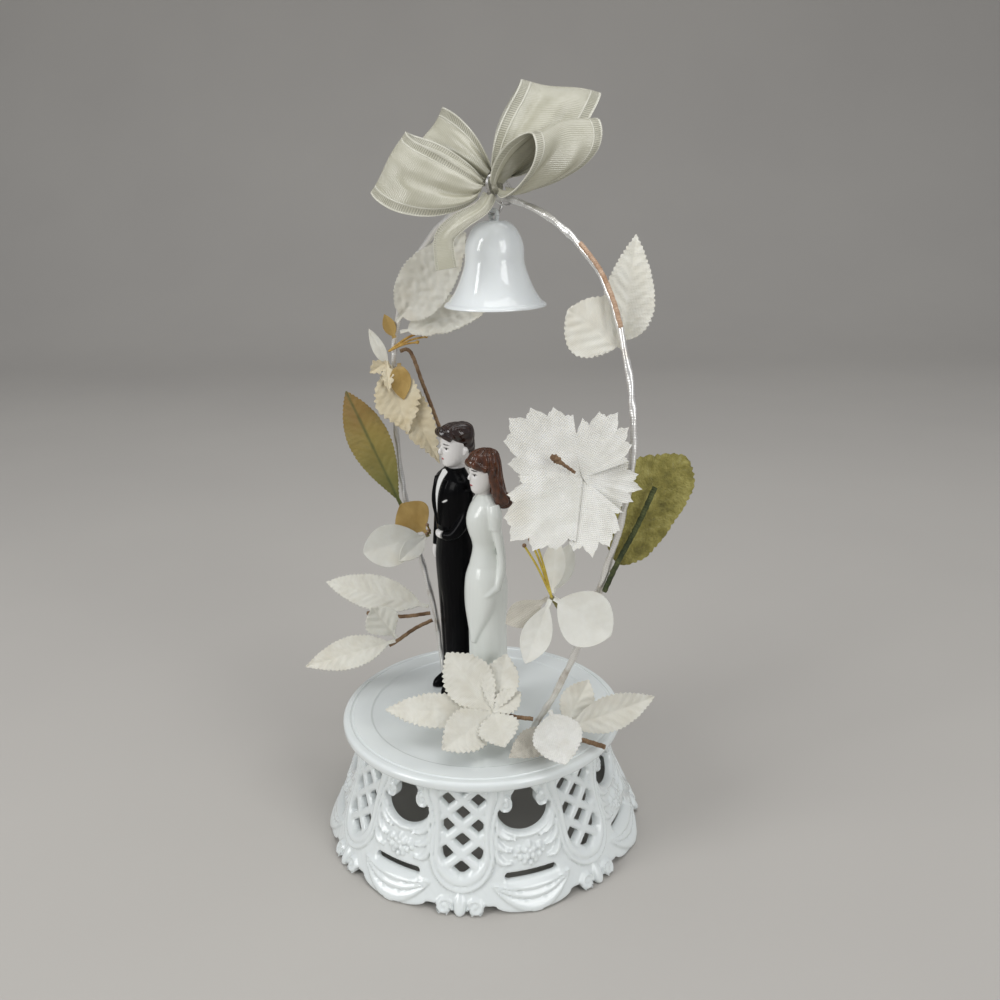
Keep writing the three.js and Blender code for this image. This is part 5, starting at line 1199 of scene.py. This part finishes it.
def groom():
    legs = lofted([[0, 6.2, 5.4], [14, 6.8, 5.6], [32, 7.6, 6], [44, 8.2, 6.5], [54, 8, 6.2], [61, 7.6, 5.6]])
    coat = lofted([[38, 7.9, 6.3], [50, 8.5, 6.7], [59, 7.9, 5.8], [68, 9.2, 6.6], [74, 9.6, 6.4],
                   [78, 9, 5.2], [80.5, 6, 4, 0, 0.4], [82, 3.4, 3.4, 0, 0.5]])
    tails = lofted([[17, 3.4, 1.6, 0, 5.6], [28, 5.6, 2.4, 0, 5.6], [44, 7.2, 3.2, 0, 4.4]])
    right = limb([(-9.2, 0.6, 76), (-10.4, 0.4, 66), (-9.8, -1.2, 56), (-9.4, -2.4, 51.5)], [2.6, 2.7, 2.3, 1.8])
    left = limb([(8.4, 0.8, 76), (8.8, 0.4, 68), (7.4, -4.4, 60.5), (4.6, -6.7, 60)], [2.2, 2.2, 2, 1.6])
    lapels = both([(0.6, -6.3, 62.5), (2.4, -6.1, 71), (3.2, -4.6, 79)], [0.35, 1.15, 0.8])
    shoes = [lofted([[0, 2.7, 5.4, x, -4], [2, 2.6, 5, x, -3.7], [4, 2, 3.4, x, -2.4]]) for x in (-3.4, 3.4)]
    suit = melted("suit", [legs, coat, tails, right, left, *lapels, *shoes], 0.3)
    p = points_of(suit)
    crease = 0.35 * np.exp(-((p[:, 0] / 0.7) ** 2)) * np.clip((40 - p[:, 2]) / 8, 0, 1) * (p[:, 1] < 0)
    p[:, 1] += crease
    moved_points(suit, p)
    chest = p[:, 1] < CHEST_FRONT
    vee = np.clip(((p[:, 2] - 65.5) * 0.125 - np.abs(p[:, 0])) / 0.25, 0, 1) * chest
    across = p[:, 0] - 4.6
    pocket = np.clip((1.1 - np.hypot(across, (p[:, 2] - 72 - 0.5 * across) / 0.35)) / 0.3, 0, 1) * chest
    paint(suit, over(over(SUIT, vee, SHIRT), pocket, SHIRT))
    suit.data.materials.append(BLACK_PAINT)
    neck = lofted([[79, 2.9, 2.9, 0, 1], [86, 2.7, 2.8, 0, 1.6]])
    head = lofted([[82.4, 1.6, 1.8, 0, -0.7], [83.2, 3, 3.4, 0, 0], [85.4, 4.2, 4.6, 0, 0.9],
                   [88.3, 4.7, 5.4, 0, 1.4], [91.6, 4.8, 5.7, 0, 1.7], [94.4, 4, 4.8, 0, 1.9], [95.8, 2, 2.6, 0, 2.1]])
    nose = limb([(0, -3.7, 89.8), (0, -4.6, 87.9), (0, -3.3, 87.3)], [0.45, 0.75, 0.55])
    ears = both([(4.6, 2.4, 89.4), (4.9, 2.6, 88.2), (4.5, 2.2, 86.8)], [0.7, 0.9, 0.55])
    face = modelled_face([neck, head, nose, *ears], 89.1, 85.5, 1.9)
    hands = [limb([(4.4, -6.9, 60.1), (2.6, -7.4, 60.3), (1.2, -7.2, 61)], [1.35, 1.2, 0.7]),
             limb([(-9.5, -2.4, 52), (-9.3, -3.1, 49.4), (-9, -3.2, 47)], [1.5, 1.35, 0.8])]
    hands = melted("hands", hands, 0.25, 3)
    paint(hands, SKIN)
    cap = lofted([[86.4, 3.4, 2, 0, 5.7], [88.3, 4.6, 3.4, 0, 4.4], [91.1, 5.2, 4.9, 0, 2.9],
                  [93.5, 5.3, 5.9, 0.2, 1.9], [95.7, 4.6, 5.5, 0.2, 1.8], [97, 2.6, 3.4, 0.1, 2.2]])
    quiff = limb([(3.9, -2.2, 92.4), (1.6, -3.8, 94.2), (-2.2, -3.6, 94.4), (-4.4, -1.2, 92.6)], [0.9, 1.5, 1.5, 1.0])
    hair = combed("hair", [cap, quiff], GROOM_HAIR, lambda q: (q[:, 0] * 0.8 + q[:, 2] * 0.45) / 1.5, 0.1, 3)
    for piece in (face, hands, hair):
        piece.data.materials.append(PAINT)
    return standing(smooth(joined("groom", [suit, face, hands, hair]), ROUND_ANGLE), -18, 3.6)


def bride():
    gown = lofted([[0, 7.2, 7], [6, 6.6, 6.7], [22, 6.5, 6.4], [36, 7, 6.5], [46, 7.7, 6.9], [53, 6.2, 5.7],
                   [60, 4.7, 4.4], [66, 5.6, 5.6, 0, -0.5], [70, 5.7, 5.9, 0, -0.5], [74, 5.6, 4.6],
                   [76.4, 3.8, 3.2, 0, 0.2], [78, 2.3, 2.3, 0, 0.3]])
    apron = lofted([[27, 1.2, 1, 1.4, -6.2], [32, 4, 2.6, 0.8, -4.6], [40, 7.3, 4.8, 0.2, -2.6],
                    [49, 7.4, 6.6, 0, -0.4], [53, 6.3, 5.8]])
    sleeves = both([(4.9, 0.4, 75), (5.8, 0.4, 71.5), (5.9, 0.6, 67)], [1.9, 2.4, 1.9])
    arms = both([(5.9, 0.4, 69), (6.4, 1.8, 61), (7, 2, 54), (7.4, -0.4, 46.5)], [1.7, 1.5, 1.35, 1.2])
    hands = both([(7.3, -0.6, 47), (6.6, -3.2, 45), (5.2, -5.2, 44)], [1.2, 1.0, 0.6])
    dress = melted("dress", [gown, apron, *sleeves, *arms, *hands], 0.3, 4)
    p = points_of(dress)
    turn = np.arctan2(p[:, 1], p[:, 0])
    folds = 0.32 * np.sin(9 * turn + 0.02 * p[:, 2]) * np.clip((34 - p[:, 2]) / 30, 0, 1)
    p[:, :2] *= 1 + (folds / np.maximum(np.hypot(p[:, 0], p[:, 1]), 3))[:, None]
    moved_points(dress, p)
    paint(dress, GOWN)
    neck = lofted([[75, 2.2, 2.2, 0, 0.2], [82, 2.1, 2.2, 0, -0.2]])
    head = lofted([[78.4, 1.4, 1.5, 0, -2.4], [79.3, 2.6, 2.8, 0, -1.8], [81.4, 3.7, 4, 0, -0.9],
                   [84, 4.2, 4.7, 0, -0.5], [87.4, 4.2, 4.9, 0, -0.2], [90, 3, 3.6, 0, 0.2]])
    nose = limb([(0, -4.8, 85.4), (0, -5.5, 83.8), (0, -4.4, 83.2)], [0.35, 0.6, 0.45])
    face = modelled_face([neck, head, nose], 84.9, 81.4, 1.65)
    cap = lofted([[73.6, 3, 1.4, 0, 5.2], [75.4, 5, 2.4, 0, 4.6], [78.5, 5.2, 3, 0, 3.8],
                  [82, 4.9, 3.4, 0, 2.8], [85.5, 5, 4.6, 0, 1.2], [89, 4.9, 5.5, 0, -0.1], [91.4, 3.8, 4.6, 0, 0],
                  [92.6, 1.8, 2.2, 0, 0.3]])
    fringe = limb([(4.3, -1.6, 86.8), (2.4, -4.2, 88.4), (-1.6, -4.5, 88.6), (-4.3, -1.8, 86.6)], [1.1, 1.5, 1.5, 1.1])
    sides = both([(4.3, 0, 87), (4.6, 1, 82.5), (4.7, 2.4, 78.5), (4.2, 4, 75)], [1.1, 1.5, 2.1, 2.5])
    roll = limb([(-4.4, 4.9, 75.4), (0, 6.2, 74.8), (4.4, 4.9, 75.4)], [2.6, 2.8, 2.6])
    hair = combed("hair", [cap, fringe, *sides, roll], BRIDE_HAIR,
                  lambda q: np.arctan2(q[:, 1] - 1.5, q[:, 0]) * 4.4 / 1.7, 0.12, 5)
    return standing(smooth(joined("bride", [dress, face, hair]), ROUND_ANGLE), 2.2, 1.6)


finished(groom(), BLACK_PAINT, "groom_figure", own=True)
finished(bride(), PAINT, "bride_figure")


# Stage: pale sweep, soft light and the camera, in metres
CAMERA_AT = (0.24902, -0.18506, 0.21737)
CAMERA_RIGHT, CAMERA_UP = at(0.62, 0.7845, -0.0173), at(-0.2291, 0.2021, 0.9522)
CAMERA_FORWARD = at(-0.7504, 0.5864, -0.305)
SWEEP_NEAR, SWEEP_FAR, SWEEP_BEND, SWEEP_TOP, SWEEP_HALF = -2.5, 0.9, 0.6, 2.4, 3.0
MIDDLE = Vector((0, 0, 0.12))


def stage():
    f = Finish("pale_backdrop", None, Roughness=0.9)
    f.to("Base Color", f.ramp(f.spots(3), (0.3, (0.47, 0.45, 0.42)), (0.7, (0.50, 0.48, 0.445))))
    bend = [(SWEEP_FAR + SWEEP_BEND * math.sin(t), SWEEP_BEND - SWEEP_BEND * math.cos(t))
            for t in np.linspace(0, math.pi / 2, 13)]
    profile = [(SWEEP_NEAR, 0.0), *bend, (SWEEP_FAR + SWEEP_BEND, SWEEP_TOP)]
    away = unit(CAMERA_FORWARD * at(1, 1, 0))
    across = at(away[1], -away[0], 0)
    points = [away * d + at(0, 0, h) + across * s for d, h in profile for s in (-SWEEP_HALF, SWEEP_HALF)]
    faces = [(2 * i, 2 * i + 1, 2 * i + 3, 2 * i + 2) for i in range(len(profile) - 1)]
    sweep = meshed("backdrop", np.array(points) / MM, faces)
    only(sweep)
    bpy.ops.object.shade_smooth()
    sweep.data.materials.append(f.material)


def lamp(name, place, size, power):
    """A soft rectangle of light aimed at the middle of the topper."""
    data = bpy.data.lights.new(name, "AREA")
    data.shape = "RECTANGLE"
    data.size, data.size_y = size
    data.energy = power
    obj = bpy.data.objects.new(name, data)
    obj.location = place
    obj.rotation_mode = "QUATERNION"
    obj.rotation_quaternion = (MIDDLE - Vector(place)).to_track_quat("-Z", "Y")
    bpy.context.scene.collection.objects.link(obj)


stage()
lamp("left_window", (-0.12, -0.95, 0.57), (0.4, 0.65), 4.8)
lamp("right_window", (0.95, -0.01, 0.5), (0.4, 0.65), 3.3)
lamp("overhead", (0.1, 0.1, 1.1), (0.9, 0.9), 4.9)

world = bpy.data.worlds.new("soft_room")
bpy.context.scene.world = world
world.use_nodes = True
sky = world.node_tree.nodes["Background"].inputs
sky["Color"].default_value = (0.93, 0.95, 1.0, 1)
sky["Strength"].default_value = 0.35

view = bpy.data.cameras.new("photo_view")
view.sensor_width = 36
view.lens = 36
view.clip_start, view.clip_end = 0.01, 20
camera = bpy.data.objects.new("photo_view", view)
bpy.context.scene.collection.objects.link(camera)
camera.matrix_world = Matrix([*zip(CAMERA_RIGHT, CAMERA_UP, -CAMERA_FORWARD, CAMERA_AT), (0, 0, 0, 1)])
bpy.context.scene.camera = camera
bpy.context.scene.view_settings.view_transform = "Standard"

bpy.context.view_layer.update()
